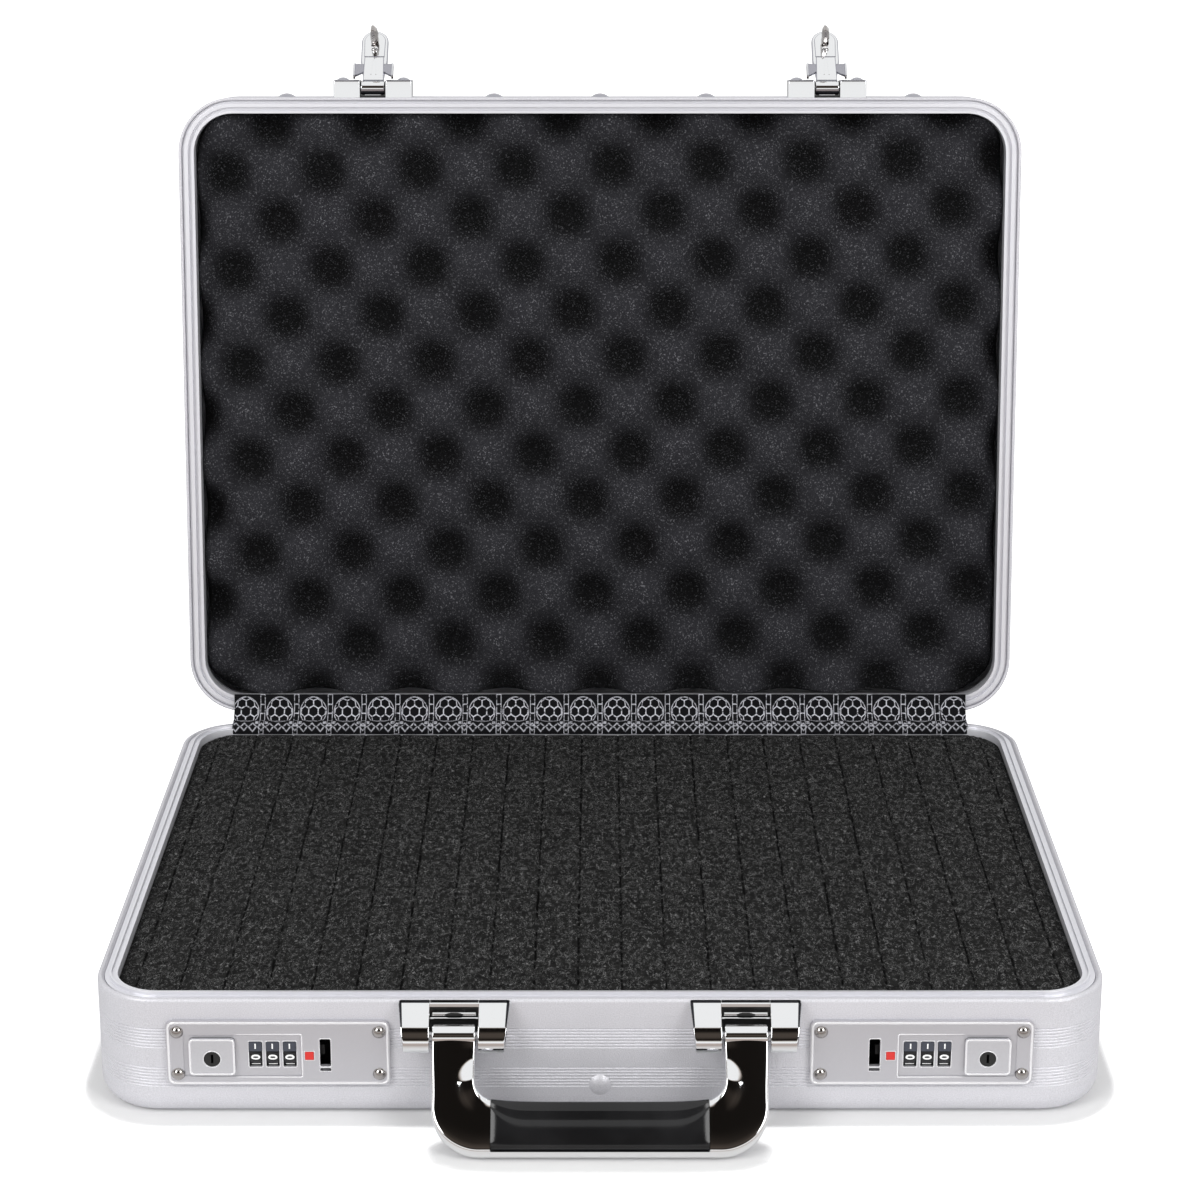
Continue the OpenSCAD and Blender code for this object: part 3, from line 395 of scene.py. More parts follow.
def lid_place(x, y, z):
    """A point of the lid's own tray, in mm, on the open lid. z is 0 at the top panel."""
    return Vector((x, *turned((y, BASE_D + GAP + LID_D - z), HINGE, -OPEN))) * MM


def rounded_half(y, half_w, half_l, r):
    """Half width at y of a rectangle with rounded corners."""
    past = max(0.0, abs(y) - (half_l - r))
    return half_w - r + math.sqrt(max(0.0, r * r - past * past))


def spread(half, r, n_mid, n_end):
    """Grid lines from -half to half, closer together over the rounded ends."""
    ends = [half - r + r * math.sin(math.pi / 2 * k / n_end) for k in range(1, n_end + 1)]
    mid = list(np.linspace(-(half - r), half - r, n_mid))
    return [-e for e in reversed(ends)] + mid + ends


# Foams

def eggcrate():
    """Lid foam. Its crests and valleys follow the lattice that the photograph shows."""
    inset, low, top, height = LID_RIM_W + FOAM_GAP, 1.8, LID_D - 5.0, 14.0
    hw, hl, r = CASE_W / 2 - inset, CASE_L / 2 - inset, CORNER_R - inset
    valley = np.array([-191.8, 280.7])
    steps = np.linalg.inv(np.array([[49.58, 3.19], [1.08, -49.78]]))
    sharpness, edge_w, edge_drop = 1.15, 3.0, 1.2
    ys = spread(hl, r, 130, 9)
    nx = 190
    tops, lows, depth = [], [], []
    for y in ys:
        w = rounded_half(y, hw, hl, r)
        row_t, row_l = [], []
        for i in range(nx + 1):
            x = w * (2 * i / nx - 1)
            a, b = steps @ (np.array([x, CASE_L / 2 - y]) - valley)
            wave = 0.5 + 0.5 * math.cos(2 * math.pi * a) * math.cos(2 * math.pi * b)
            edge = min(1.0, min(w - abs(x), hl - abs(y)) / edge_w)
            z = top - height * wave ** sharpness - edge_drop * (1 - edge) ** 2
            row_t.append(lid_place(x, y, z))
            row_l.append(lid_place(x, y, low))
            depth.append(wave)
        tops.append(row_t)
        lows.append(row_l)
    verts, faces = grid_block(np.array(tops), np.array(lows))
    o = new_piece("lid_foam", verts, faces, MATS["foam_lid"], "lid", "foam")
    # depth is 1 in the valleys, where the material paints shade.
    set_values(o, "depth", depth + [0.3] * (len(verts) - len(depth)))
    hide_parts("lid_foam_eggcrate")


def base_foam():
    """Pick-and-pluck foam: a block whose top is cut into rows of cubes."""
    rnd = random.Random(7)
    inset, low, top = RIM_W + FOAM_GAP, 1.6, BASE_D - 3.0
    hw, hl, r = CASE_W / 2 - inset, CASE_L / 2 - inset, CORNER_R - inset
    pitch, cut_half, cross_half, cut_deep, cross_share = 18.8, 0.75, 0.35, 0.8, 0.35
    cuts_x = [pitch * (k + 0.5) for k in range(-11, 11)]
    cuts_y = [pitch * (k + 0.5) for k in range(-8, 8)]
    ys = sorted(set(round(v, 3) for v in spread(hl, r, 60, 9)
                    + [c + d for c in cuts_y for d in (-cross_half, 0.0, cross_half) if abs(c) < hl - 2]))
    ts = sorted([c + d for c in cuts_x for d in (-2.5, -cut_half, -0.3, 0.0, 0.3, cut_half, 2.5)]
                + [c + pitch / 2 + d for c in cuts_x[:-1] for d in (-4.0, 0.0, 4.0)])
    phase = {c: (rnd.uniform(0, 6.3), rnd.uniform(0, 6.3), rnd.uniform(0.75, 1.0)) for c in cuts_x}
    tops, lows, depth = [], [], []
    for y in ys:
        w = rounded_half(y, hw, hl, r)
        full = [-w] + [max(-w, min(w, t)) for t in ts] + [w]
        row_t, row_l = [], []
        for k, x in enumerate(full):
            near = min(cuts_x, key=lambda c: abs(c - x))
            p, q, deep = phase[near]
            off = abs(ts[k - 1] - near) if 0 < k < len(full) - 1 else 9
            wear_and_cut_shade = 0.5 + 0.5 * math.sin(y / 9.0 + p) * math.sin(y / 23.0 + q)
            groove = max(0.0, 1 - off / cut_half) * deep * (0.55 + 0.45 * wear_and_cut_shade)
            cross = min(abs(y - c) for c in cuts_y)
            groove = max(groove, cross_share * max(0.0, 1 - cross / cross_half))
            dx = 0.12 * math.sin(y / 5.0 + p) if off < 3 and abs(x) < w - 4 else 0.0
            edge = min(1.0, min(w - abs(x), hl - abs(y)) / 2.0)
            swell = 0.25 * math.sin(x / 7.1 + y / 11.3) * math.sin(y / 8.7 - x / 17.0)
            z = top - cut_deep * groove - 0.8 * (1 - edge) ** 2 + swell * edge
            row_t.append(Vector((x + dx, y, z)) * MM)
            row_l.append(Vector((x + dx, y, low)) * MM)
            depth.append(min(1.0, groove * 1.2))
        tops.append(row_t)
        lows.append(row_l)
    verts, faces = grid_block(np.array(tops), np.array(lows))
    o = new_piece("base_foam", verts, faces, MATS["foam_base"], None, "foam")
    # depth marks the cuts, which the material darkens as painted shade.
    set_values(o, "depth", depth + [0.0] * (len(verts) - len(depth)))
    tidy_mesh(o)
    room = Vector((0.001, 0.0008, 0.0008))
    to_front = Vector((0.001, 0.02, 0.0008))
    for side, _ in SIDES:
        lo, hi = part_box("lock_case_" + side)
        carve(o, lo - to_front, hi + room)
    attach(o, "base")
    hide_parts("base_foam_block")


def tidy_mesh(o):
    bm = bmesh.new()
    bm.from_mesh(o.data)
    bmesh.ops.remove_doubles(bm, verts=bm.verts, dist=2e-6)
    bmesh.ops.dissolve_degenerate(bm, edges=bm.edges, dist=1e-6)
    bm.to_mesh(o.data)
    bm.free()


def carve(o, lo, hi):
    """Cuts a box out of o."""
    bpy.ops.mesh.primitive_cube_add(size=1, location=(lo + hi) / 2)
    tool = bpy.context.object
    tool.scale = hi - lo
    mod = o.modifiers.new("carve", "BOOLEAN")
    mod.object = tool
    mod.solver = "EXACT"
    bpy.context.view_layer.objects.active = o
    bpy.ops.object.modifier_apply(modifier="carve")
    bpy.data.objects.remove(tool)


# Hinge cloth

def hinge_cloth():
    """The printed strip that covers the hinge gap and both rear rims."""
    half, thick = 192.0, 0.0004
    a = math.radians(OPEN - 90)
    ey, ez = turned((REAR, HINGE[1] + GAP / 2), HINGE, -OPEN)

    def on_lid(s, out):
        """A point s along the lid's rim from its rear edge, and out from its face."""
        return (ey + s * math.sin(a) - out * math.cos(a), ez + s * math.cos(a) + out * math.sin(a))

    line = [(150.9, 52.0), (150.9, 54.0), (151.2, 55.5), (152.6, 55.6), (153.6, 56.75), (155.4, 56.9),
            (157.4, 56.8), (159.0, 57.0), on_lid(2.6, 1.3), on_lid(4.4, 1.0), on_lid(6.2, 0.75),
            on_lid(8.0, 0.6), on_lid(9.4, 0.3)]
    pts = smooth_line(line, 40)
    lengths = [0.0]
    for p, q in zip(pts, pts[1:]):
        lengths.append(lengths[-1] + math.dist(p, q))
    width = lengths[-1]
    nx = 240
    verts, run = [], []
    for i in range(nx + 1):
        x = -half + 2 * half * i / nx
        for k, (y, z) in enumerate(pts):
            ripple = 0.08 * math.sin(x / 6.0 + 3 * k / len(pts)) * math.sin(math.pi * k / (len(pts) - 1))
            verts.append(Vector((x, y, z + ripple)) * MM)
            run.append(lengths[k] / width)
    n = len(pts)
    faces = [(i * n + k, (i + 1) * n + k, (i + 1) * n + k + 1, i * n + k + 1)
             for i in range(nx) for k in range(n - 1)]
    o = new_piece("hinge_cloth", verts, faces, MATS["cloth"], None, "cloth")
    set_values(o, "run", run)
    mod = o.modifiers.new("thick", "SOLIDIFY")
    mod.thickness = thick
    mod.offset = 0
    bpy.context.view_layer.objects.active = o
    bpy.ops.object.modifier_apply(modifier="thick")
    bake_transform(o)
    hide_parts("hinge_cover_strip")


def smooth_line(points, n):
    """n + 1 points on a Catmull-Rom curve through the points, evenly spread by parameter."""
    p = [points[0]] + list(points) + [points[-1]]
    out = []
    for k in range(n + 1):
        t = k / n * (len(points) - 1)
        i = min(int(t), len(points) - 2)
        f = t - i
        q = p[i:i + 4]
        out.append(tuple(0.5 * (2 * q[1][c] + (q[2][c] - q[0][c]) * f
                                + (2 * q[0][c] - 5 * q[1][c] + 4 * q[2][c] - q[3][c]) * f * f
                                + (3 * q[1][c] - q[0][c] - 3 * q[2][c] + q[3][c]) * f ** 3)
                         for c in range(len(q[0]))))
    return out


# Dial numbers

def dial_digits(side, wheel):
    """Ten printed numbers round a dial wheel, lying on their side."""
    size, bolder, raised, wider = 0.0046, 0.00014, 0.00003, 1.10
    node = f"dial_wheel_{side}_{wheel}"
    lo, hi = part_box(node)
    c = (lo + hi) / 2
    r = (hi.z - lo.z) / 2 + 0.00004
    digits = []
    for digit in range(10):
        curve = bpy.data.curves.new("digit", "FONT")
        curve.body = str(digit)
        curve.size = size
        curve.align_x, curve.align_y = "CENTER", "CENTER"
        curve.offset = bolder
        curve.extrude = raised
        text = bpy.data.objects.new("digit", curve)
        scene.collection.objects.link(text)
        bpy.context.view_layer.update()
        mesh = bpy.data.meshes.new_from_object(text)
        bpy.data.objects.remove(text)
        co = np.array([v.co for v in mesh.vertices])
        mid = (co[:, :2].min(0) + co[:, :2].max(0)) / 2
        angle = math.radians(36.0 * digit)
        for v in mesh.vertices:
            across, up = -(v.co.y - mid[1]) * wider, v.co.x - mid[0]
            th = up / r - angle
            rr = r + v.co.z
            v.co = (c.x + across, c.y - rr * math.cos(th), c.z + rr * math.sin(th))
        digits.append(bpy.data.objects.new("digit", mesh))
        scene.collection.objects.link(digits[-1])
    o = join(f"dial_digits_{side}_{wheel}", digits)
    o.data.materials.clear()
    o.data.materials.append(MATS["white_print"].mat)
    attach(o, node)


# Handle

def smooth(t):
    t = max(0.0, min(1.0, t))
    return t * t * (3 - 2 * t)


def handle_point(x, v, out):
    """A point of the handle in mm: v down from the pins in its plane, out towards the viewer."""
    t = math.radians(HANDLE_TILT)
    return Vector((x, PIN_Y - v * math.sin(t) - out * math.cos(t),
                   PIN_Z - v * math.cos(t) + out * math.sin(t))) * MM


def loft(name, rings, material, closed_ends=True, **keys):
    """A skin over rings of equal count, each a closed loop of points."""
    n = len(rings[0])
    verts = [p for ring in rings for p in ring]
    faces = []
    for k in range(len(rings) - 1):
        for i in range(n):
            j = (i + 1) % n
            faces.append((k * n + i, k * n + j, (k + 1) * n + j, (k + 1) * n + i))
    if closed_ends:
        faces.append(tuple(range(n - 1, -1, -1)))
        last = (len(rings) - 1) * n
        faces.append(tuple(last + i for i in range(n)))
    o = new_piece(name, verts, faces, material, **keys)
    outward(o)
    return o


def outward(o):
    bm = bmesh.new()
    bm.from_mesh(o.data)
    bmesh.ops.recalc_face_normals(bm, faces=bm.faces)
    bm.to_mesh(o.data)
    bm.free()


def sharpen(o, angle=40.0):
    """Smooth shading that keeps the flat faces flat and the sharp edges sharp."""
    o.data.shade_smooth()
    o.data.set_sharp_from_angle(angle=math.radians(angle))
    mod = o.modifiers.new("weighted", "WEIGHTED_NORMAL")
    mod.keep_sharp = True
    mod.weight = 80


def rod(about, prof, count):
    """Closed rings, round the X axis through a point, of a solid with the (x, radius) profile."""
    rings = [[about(x, r, 2 * math.pi * k / count) for x, r in prof] for k in range(count)]
    return rings + [rings[0]]


def band_look(o, n, look):
    """Gives the second and third row of n faces of a loft another look, mostly a grey that paints shade along
    a bevel.
    """
    o.data.materials.append(MATS[look].mat)
    for p in o.data.polygons[n:3 * n]:
        p.material_index = 1


def join(name, objs):
    bpy.ops.object.select_all(action="DESELECT")
    for o in objs:
        o.select_set(True)
    bpy.context.view_layer.objects.active = objs[0]
    bpy.ops.object.join()
    objs[0].name = name
    return objs[0]


def arm_section(outer, inner, r_out, r_in, bulge, web=False):
    """Ring of the handle bar between its outer and inner edge: front skin, then back skin.

    A web is thin but for its outer edge, and lies inside the grip.
    """
    half, web_half, web_from = 4.0, 1.5, 2.4
    w = math.dist(outer, inner)
    front = []
    for k in range(7):
        a = math.pi / 2 * k / 6
        front.append((r_out * (1 - math.cos(a)), half - r_out + r_out * math.sin(a)))
    lo, hi = r_out, w - r_in
    for k in range(1, 13):
        f = lo + (hi - lo) * k / 12
        crown = 0.25 * (1 - (2 * k / 12 - 1) ** 2)
        front.append((f, half + crown + bulge(f, w)))
    top = front[-1][1]
    for k in range(1, 6):
        a = math.pi / 2 * k / 5
        front.append((w - r_in + r_in * math.sin(a), top - r_in + r_in * math.cos(a)))
    back = [(w, -half + 1), (w - 0.3, -half + 0.3), (w - 1, -half)]
    back += [(w * f, -half) for f in (0.75, 0.5, 0.25)]
    back += [(1.0, -half), (0.3, -half + 0.3), (0.0, -half + 1)]
    if web:
        front = [(f, out if f < web_from else web_half) for f, out in front]
        back = [(f, out if f < web_from else -web_half) for f, out in back]
    ring = []
    for f, out in front + back:
        s = f / w
        ring.append(handle_point(outer[0] + (inner[0] - outer[0]) * s,
                                 outer[1] + (inner[1] - outer[1]) * s, out))
    return ring


def arm_bulge(v_at):
    """The front dips and swells near the inner edge of each arm, which throws the light seen there."""
    first, span, steps, steepest = 8.0, 16.0, 44, 0.105
    mid_u, half_u, mid_v, half_v = -0.4, 10.6, 19.4, 9.8

    def slope(u, v):
        """Share of the steepest slope at v down the arm and u in from its inner edge."""
        on = smooth(1.6 - ((u - mid_u) / half_u) ** 2 * 1.6 - (max(0.0, mid_v - v) / half_v) ** 2 * 1.6)
        return on * smooth((22.4 - 0.34 * u - v) / 1.2 + 0.5) * smooth((v - 8.5) / 1.5)

    def bulge(f, w):
        u = w - f
        rise = [slope(u, first + span * (k + 0.5) / steps) * span / steps * steepest for k in range(steps)]
        at = (v_at - first) / span * steps
        level = sum(rise[:max(0, min(steps, int(at)))])
        if 0 <= at < steps:
            level += rise[int(at)] * (at % 1)
        start = -0.3 * sum(rise) * smooth(v_at / first)
        return (start + level) * (1.0 - smooth((v_at - 24.0) / 15.0))
    return bulge


def handle_frame():
    """Cast chrome handle: two arms with rounded corners and a bar that carries the grip."""
    arm_out, arm_in, reach, end_x = 70.0, 52.0, 50.0, 45.3
    sections = []
    for k in range(40):
        t = k / 39
        outer = (-arm_out, 2.0 + 28.0 * t)
        inner = (-arm_in, 2.0 + 16.3 * t)
        sections.append((outer, inner, 0.7 + 1.0 * smooth(t), 0.6 + 0.5 * smooth(t),
                         arm_bulge(2.0 + 20.0 * t)))
    bent = 0.87  # share of the corner's sections after which the outer edge runs straight
    for k in range(1, 33):
        t = k / 32
        a = math.radians(90 * min(1.0, t / bent))
        past = max(0.0, (t - bent) / (1 - bent))
        outer = (-50 - 20 * math.cos(a) + (50 - end_x) * past, 30 + 20 * math.sin(a))
        b = math.radians(80.65 * t)
        inner = (-44 - 8 * math.cos(b), 18.3 + 8 * math.sin(b))
        sections.append((outer, inner, 1.7 + 2.0 * smooth(t / 0.7), 1.1 + 1.8 * smooth(t),
                         arm_bulge(22.0 + 18 * t)))
    rings = [arm_section(*s) for s in sections]
    for x in (-45.25, -30.0, -15.0, 0.0):
        rings.append(arm_section((x, reach), (x, 28.9), 3.4, 0.5, lambda f, w: 0.0, web=True))
    flip = [[Vector((-p.x, p.y, p.z)) for p in ring] for ring in reversed(rings[:-1])]
    body = loft("handle_body", rings + flip, MATS["chrome"])
    # Round end of each arm, on the pin
    profile = [(-9.0, 2.1), (-9.0, 4.4), (-8.83, 4.8), (-8.4, 5.0), (8.4, 5.0), (8.83, 4.8), (9.0, 4.4),
               (9.0, 2.1)]
    ends = []
    for _, sx in SIDES:
        def about(x, r, a):
            return Vector((sx * ARM_X + x, PIN_Y + r * math.cos(a), PIN_Z + r * math.sin(a))) * MM
        ends.append(loft("handle_end", rod(about, profile, 48), MATS["chrome"], closed_ends=False))
    o = join("handle_body", [body] + ends)
    tidy_mesh(o)
    outward(o)
    sharpen(o)
    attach(o, "handle")
    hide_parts("handle_frame")


def grip_cover():
    """Moulded black grip: a band along its top edge, a soft ridge and a swollen face."""
    top, half, count = 26.3, 45.1, 61
    rings = []
    for i in range(count):
        x = -half + 2 * half * i / (count - 1)
        end = abs(x) / half
        dip = 1.1 * (1 - end ** 6)
        ridge = 9.3 - 5.2 * max(0.0, (abs(x) - 31) / 14.1) ** 2
        k = ridge / 9.3
        pts = [(dip, 1.0), (dip + 0.35, 2.9), (dip + 1.2, 3.75), (dip + 4.0 * k, 4.25),
               (dip + 4.6 * k, 4.3), (dip + 7.6 * k, 4.33), (dip + 8.6 * k, 4.45), (dip + 10.2 * k, 4.85),
               (dip + 12.5 * k, 4.95), (16.5, 4.75), (19.2, 4.3), (20.7, 3.5), (21.25, 2.2), (21.3, 1.0)]
        front = smooth_line(pts, 52)
        tuck = 0.5 * max(0.0, (end - 0.97) / 0.03) ** 2
        front = [(v, max(0.6, out - tuck)) for v, out in front]
        back = [(21.3, -1.5), (20.6, -3.6), (18.0, -4.3), (12.0, -4.6), (5.0, -4.3), (1.2, -3.6),
                (dip, -1.5)]
        rings.append([handle_point(x, top + v, out) for v, out in front + back])
    o = loft("grip_cover", rings, MATS["grip"], body="handle")
    sharpen(o, 50.0)
    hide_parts("handle_grip")


# Handle brackets

def bracket_profile():
    """Outline in (y, z) of a bracket block, from the wall's top round to the wall's foot."""
    pts = [(-160.0, 54.9), (-162.7, 54.9), (-163.3, 54.7)]
    pts += [(-170.3, 48.25), (-170.55, 48.15), (-170.75, 48.3), (-171.0, 48.3)]
    y, z, angle = -171.25, 48.05, 42.0
    for radius, turn, last in ((15.0, 2.5, 17.0), (5.2, 8, -75)):
        while angle > last:
            pts.append((y, z))
            a = math.radians(angle - turn / 2)
            y -= radius * math.radians(turn) * math.sin(a)
            z -= radius * math.radians(turn) * math.cos(a)
            angle -= turn
    pts += [(y, z), (-160.0, z + 0.2)]
    out = [pts[0]]
    for p in pts[1:]:
        if math.dist(p, out[-1]) > 0.02:
            out.append(p)
    return out


def shrink(pts, d):
    """The closed outline moved inwards by d, corner by corner."""
    n = len(pts)
    area = sum(pts[i][0] * pts[(i + 1) % n][1] - pts[(i + 1) % n][0] * pts[i][1] for i in range(n))
    turn = 1 if area > 0 else -1
    res = []
    for i in range(n):
        (ax, ay), (bx, by), (cx, cy) = pts[i - 1], pts[i], pts[(i + 1) % n]
        e1, e2 = Vector((bx - ax, by - ay)).normalized(), Vector((cx - bx, cy - by)).normalized()
        n1, n2 = Vector((-e1.y, e1.x)) * turn, Vector((-e2.y, e2.x)) * turn
        m = (n1 + n2)
        m = m.normalized() if m.length > 1e-6 else n1
        res.append((bx + m.x * d / max(0.5, m.dot(n1)), by + m.y * d / max(0.5, m.dot(n1))))
    return res


def soften(pts, r, n=4):
    """The outline with its corners rounded by r."""
    out = []
    for i, b in enumerate(pts):
        a, c = pts[i - 1], pts[(i + 1) % len(pts)]
        u = (Vector(a) - Vector(b)).normalized() * r
        w = (Vector(c) - Vector(b)).normalized() * r
        for k in range(n + 1):
            t = k / n
            p = Vector(b) + u * (1 - t) ** 2 + w * t ** 2
            out.append((p.x, p.y))
    return out


def handle_brackets():
    """Chrome brackets: two cast blocks each side of the arm, and what lies between them, where black pieces
    paint the shade of the gap.
    """
    profile = bracket_profile()
    for side, sx in SIDES:
        parts = []
        for s in (-1, 1):
            rings = []
            for f, inset in ((0.0, 0.5), (0.15, 0.15), (0.5, 0.0), (1.0, 0.0), (1.6, 0.12), (1.75, 0.4),
                             (2.0, 1.0)):
                ring = []
                for y, z in shrink(profile, inset):
                    wide = 21.35 + 2.4 * max(0.0, min(1.0, (z - 42.3) / 12.7))
                    band = 0.75 + 1.0 * max(0.0, min(1.0, (z - 46) / 8.0))
                    if f <= 0.5:
                        x = 10.15 + f
                    elif f == 1.0:
                        x = wide - band
                    else:
                        x = wide - band * (2.0 - f)
                    ring.append(Vector((sx * ARM_X + s * x, y, z)) * MM)
                rings.append(ring)
            part = loft("bracket", rings, MATS["chrome"])
            # The bevel round each block's outer end is painted dark above 47.8 mm: a painted reflection.
            part.data.materials.append(MATS["dark_chrome"].mat)
            n = len(profile)
            for k, p in enumerate(part.data.polygons):
                if k // n in (3, 4) and p.center.z > 0.0478:
                    p.material_index = 1
            parts.append(part)
        bridge = [(-160, 54.9), (-162.6, 54.9), (-163.1, 54.5), (-163.1, 53.2), (-162.8, 52.9), (-160, 52.9)]
        # The black plate on the wall and the black crescent above the arm's end paint the shade between the
        # blocks.
        back = [(-160, 53.2), (-161.6, 53.2), (-161.6, 37.0), (-160, 37.0)]
        clip = [(-163.6 + 1.15 * math.cos(a), 50.3 + 0.85 * math.sin(a))
                for a in (2 * math.pi * k / 20 for k in range(20))]
        stop = [(-161, 49.0), (-164.2, 48.9), (-164.5, 48.6), (-164.2, 48.2), (-161, 48.0)]
        moon = [(-161.0, 51.6), (-164.9, 50.9), (-165.15, 50.3), (-164.9, 49.8), (-161.0, 49.6)]
        for outline, length, look, round_end in (
                (bridge, 20.6, "chrome", 0.0), (back, 20.6, "key_black", 0.0), (clip, 18.4, "chrome", 0.0),
                (stop, 20.2, "chrome", 0.0), (moon, 9.0, "key_black", 3.0)):
            parts.append(bar_x(sx * ARM_X, length, outline, look, round_end=round_end))
        o = join("bracket_body_" + side, parts)
        sharpen(o, 30.0)
        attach(o, "base")
        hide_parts("handle_bracket_" + side)


def bar_x(cx, length, outline, look, bevel=0.18, round_end=0.0):
    """A bar along X with the (y, z) outline, its ends bevelled or drawn in over round_end."""
    half, deepest = length / 2, 0.9
    stations = [(-half, bevel), (-half + bevel, 0.0), (half - bevel, 0.0), (half, bevel)]
    if round_end:
        arc = [math.pi / 2 * k / 5 for k in range(6)]
        stations = [(s * (half - round_end * (1 - math.cos(a))), deepest * (1 - math.sin(a)))
                    for s, angles in ((-1, arc), (1, arc[::-1])) for a in angles]
    rings = [[Vector((cx + x, y, z)) * MM for y, z in shrink(outline, min(d, deepest))] for x, d in stations]
    return loft("bar", rings, MATS[look])


# Lock trim

def round_rect(w, h, r, n=6):
    pts = []
    for cx, cz, start in ((1, 1, 0), (-1, 1, 90), (-1, -1, 180), (1, -1, 270)):
        for k in range(n + 1):
            a = math.radians(start + 90 * k / n)
            pts.append((cx * (w / 2 - r) + r * math.cos(a), cz * (h / 2 - r) + r * math.sin(a)))
    return pts


def edge_ring(cx, cz, outline, band, y, proud, look="bright_edge", sunk=None):
    """A raised line round an outline on a plane that faces the front; it sinks away where sunk says. By
    default it takes a metal lighter than the plate, a painted highlight along the line.
    """
    prof = [(-0.5, -0.06), (-0.42, 0.6), (-0.2, 1.0), (0.2, 1.0), (0.42, 0.6), (0.5, -0.06)]
    rings = []
    for off, up in prof:
        pts = shrink(outline, -off * band)
        rings.append([Vector((cx + px, y - up * proud + (0.4 if sunk and sunk(px) else 0.0), cz + pz)) * MM
                      for px, pz in pts])
    rings.append(rings[0])
    return loft("edge", rings, MATS[look], closed_ends=False)


def lock_trim():
    """Pressed edges of the lock plate, outlines of its openings and the white index marks."""
    for side, sx in SIDES:
        floor = FACE_Y + 0.6
        hasp_x, red_x, button_x = sx * HASP_X, sx * RED_X, sx * BUTTON_X
        recess_x, recess_w = sx * (125.65 + 49.75 / 2), 49.75
        parts = [edge_ring(sx * PLATE_X, PLATE_Z, round_rect(92.2, 27.9, 2.4), 1.1, FACE_Y, 0.4)]
        parts.append(edge_ring(recess_x, PLATE_Z - 1.25, round_rect(recess_w + 0.5, 19.9, 0.8), 0.6,
                               FACE_Y, 0.22, sunk=lambda x: x * sx > recess_w / 2 - 1))
        dials = [sx * DIAL_X + i * DIAL_PITCH for i in (-1, 0, 1)]
        for x in dials:
            parts.append(edge_ring(x, PLATE_Z - 0.75, round_rect(6.0, 12.2, 0.7), 0.45, floor, 0.25))
        parts.append(edge_ring(hasp_x, PLATE_Z + 0.2, round_rect(5.0, 13.1, 0.9), 0.4, FACE_Y, 0.2))
        parts.append(edge_ring(hasp_x, PLATE_Z - 7.65, round_rect(5.0, 1.7, 0.6), 0.3, FACE_Y, 0.15))
        parts.append(edge_ring(red_x, PLATE_Z - 1.2, round_rect(4.2, 4.2, 0.5), 0.35, FACE_Y, 0.2))
        lo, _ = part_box("dial_index_" + side)
        behind, before = lo.y / MM + 0.1, lo.y / MM - 0.08
        mark = [(behind, 35.7), (before, 35.6), (before, 33.3), (behind, 33.2)]
        for x in dials:
            parts.append(bar_x(x, 0.6, mark, "white_print", bevel=0.05))
        button_y = FACE_Y - 1.2
        edges = [edge_ring(button_x, PLATE_Z - 1.35, round_rect(18.5, 15.9, 1.5), 0.9, button_y, 0.3),
                 edge_ring(button_x, PLATE_Z - 2.25, round_rect(7.5, 7.5, 3.7), 0.4, button_y, 0.2)]
        for name, rings, body in (("button_edge_", edges, "release_button_" + side),
                                  ("lock_trim_", parts, "base")):
            o = join(name + side, rings)
            sharpen(o, 60.0)
            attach(o, body)


# Hasps

def hasp_point(sx, x, y, z):
    """A point drawn on the latched hasp, in mm, on the hasp as it stands on the open lid."""
    p = turned((HASP_Y + y, HASP_Z + z), (HASP_Y, HASP_Z), -HASP_SWING)
    return Vector((sx * HASP_X + x, *turned(p, HINGE, -OPEN))) * MM


def slab(sx, outline, y0, y1, bevel, look="chrome", edge_look="hasp_edge", lift=None):
    """A plate on the hasp with the (x, z) outline, from y0 to y1, bevelled on the y1 side. Its bevel band
    takes edge_look, by default a grey that paints shade along the edge.
    """
    lift = lift or (lambda x: 0.0)
    rings = []
    for y, d in ((y0, 0.0), (y1 - bevel, 0.0), (y1 - 0.3 * bevel, 0.3 * bevel), (y1, bevel)):
        rings.append([hasp_point(sx, x, y + lift(x), z) for x, z in shrink(outline, d)])
    o = loft("slab", rings, MATS[look])
    band_look(o, len(outline), edge_look)
    return o


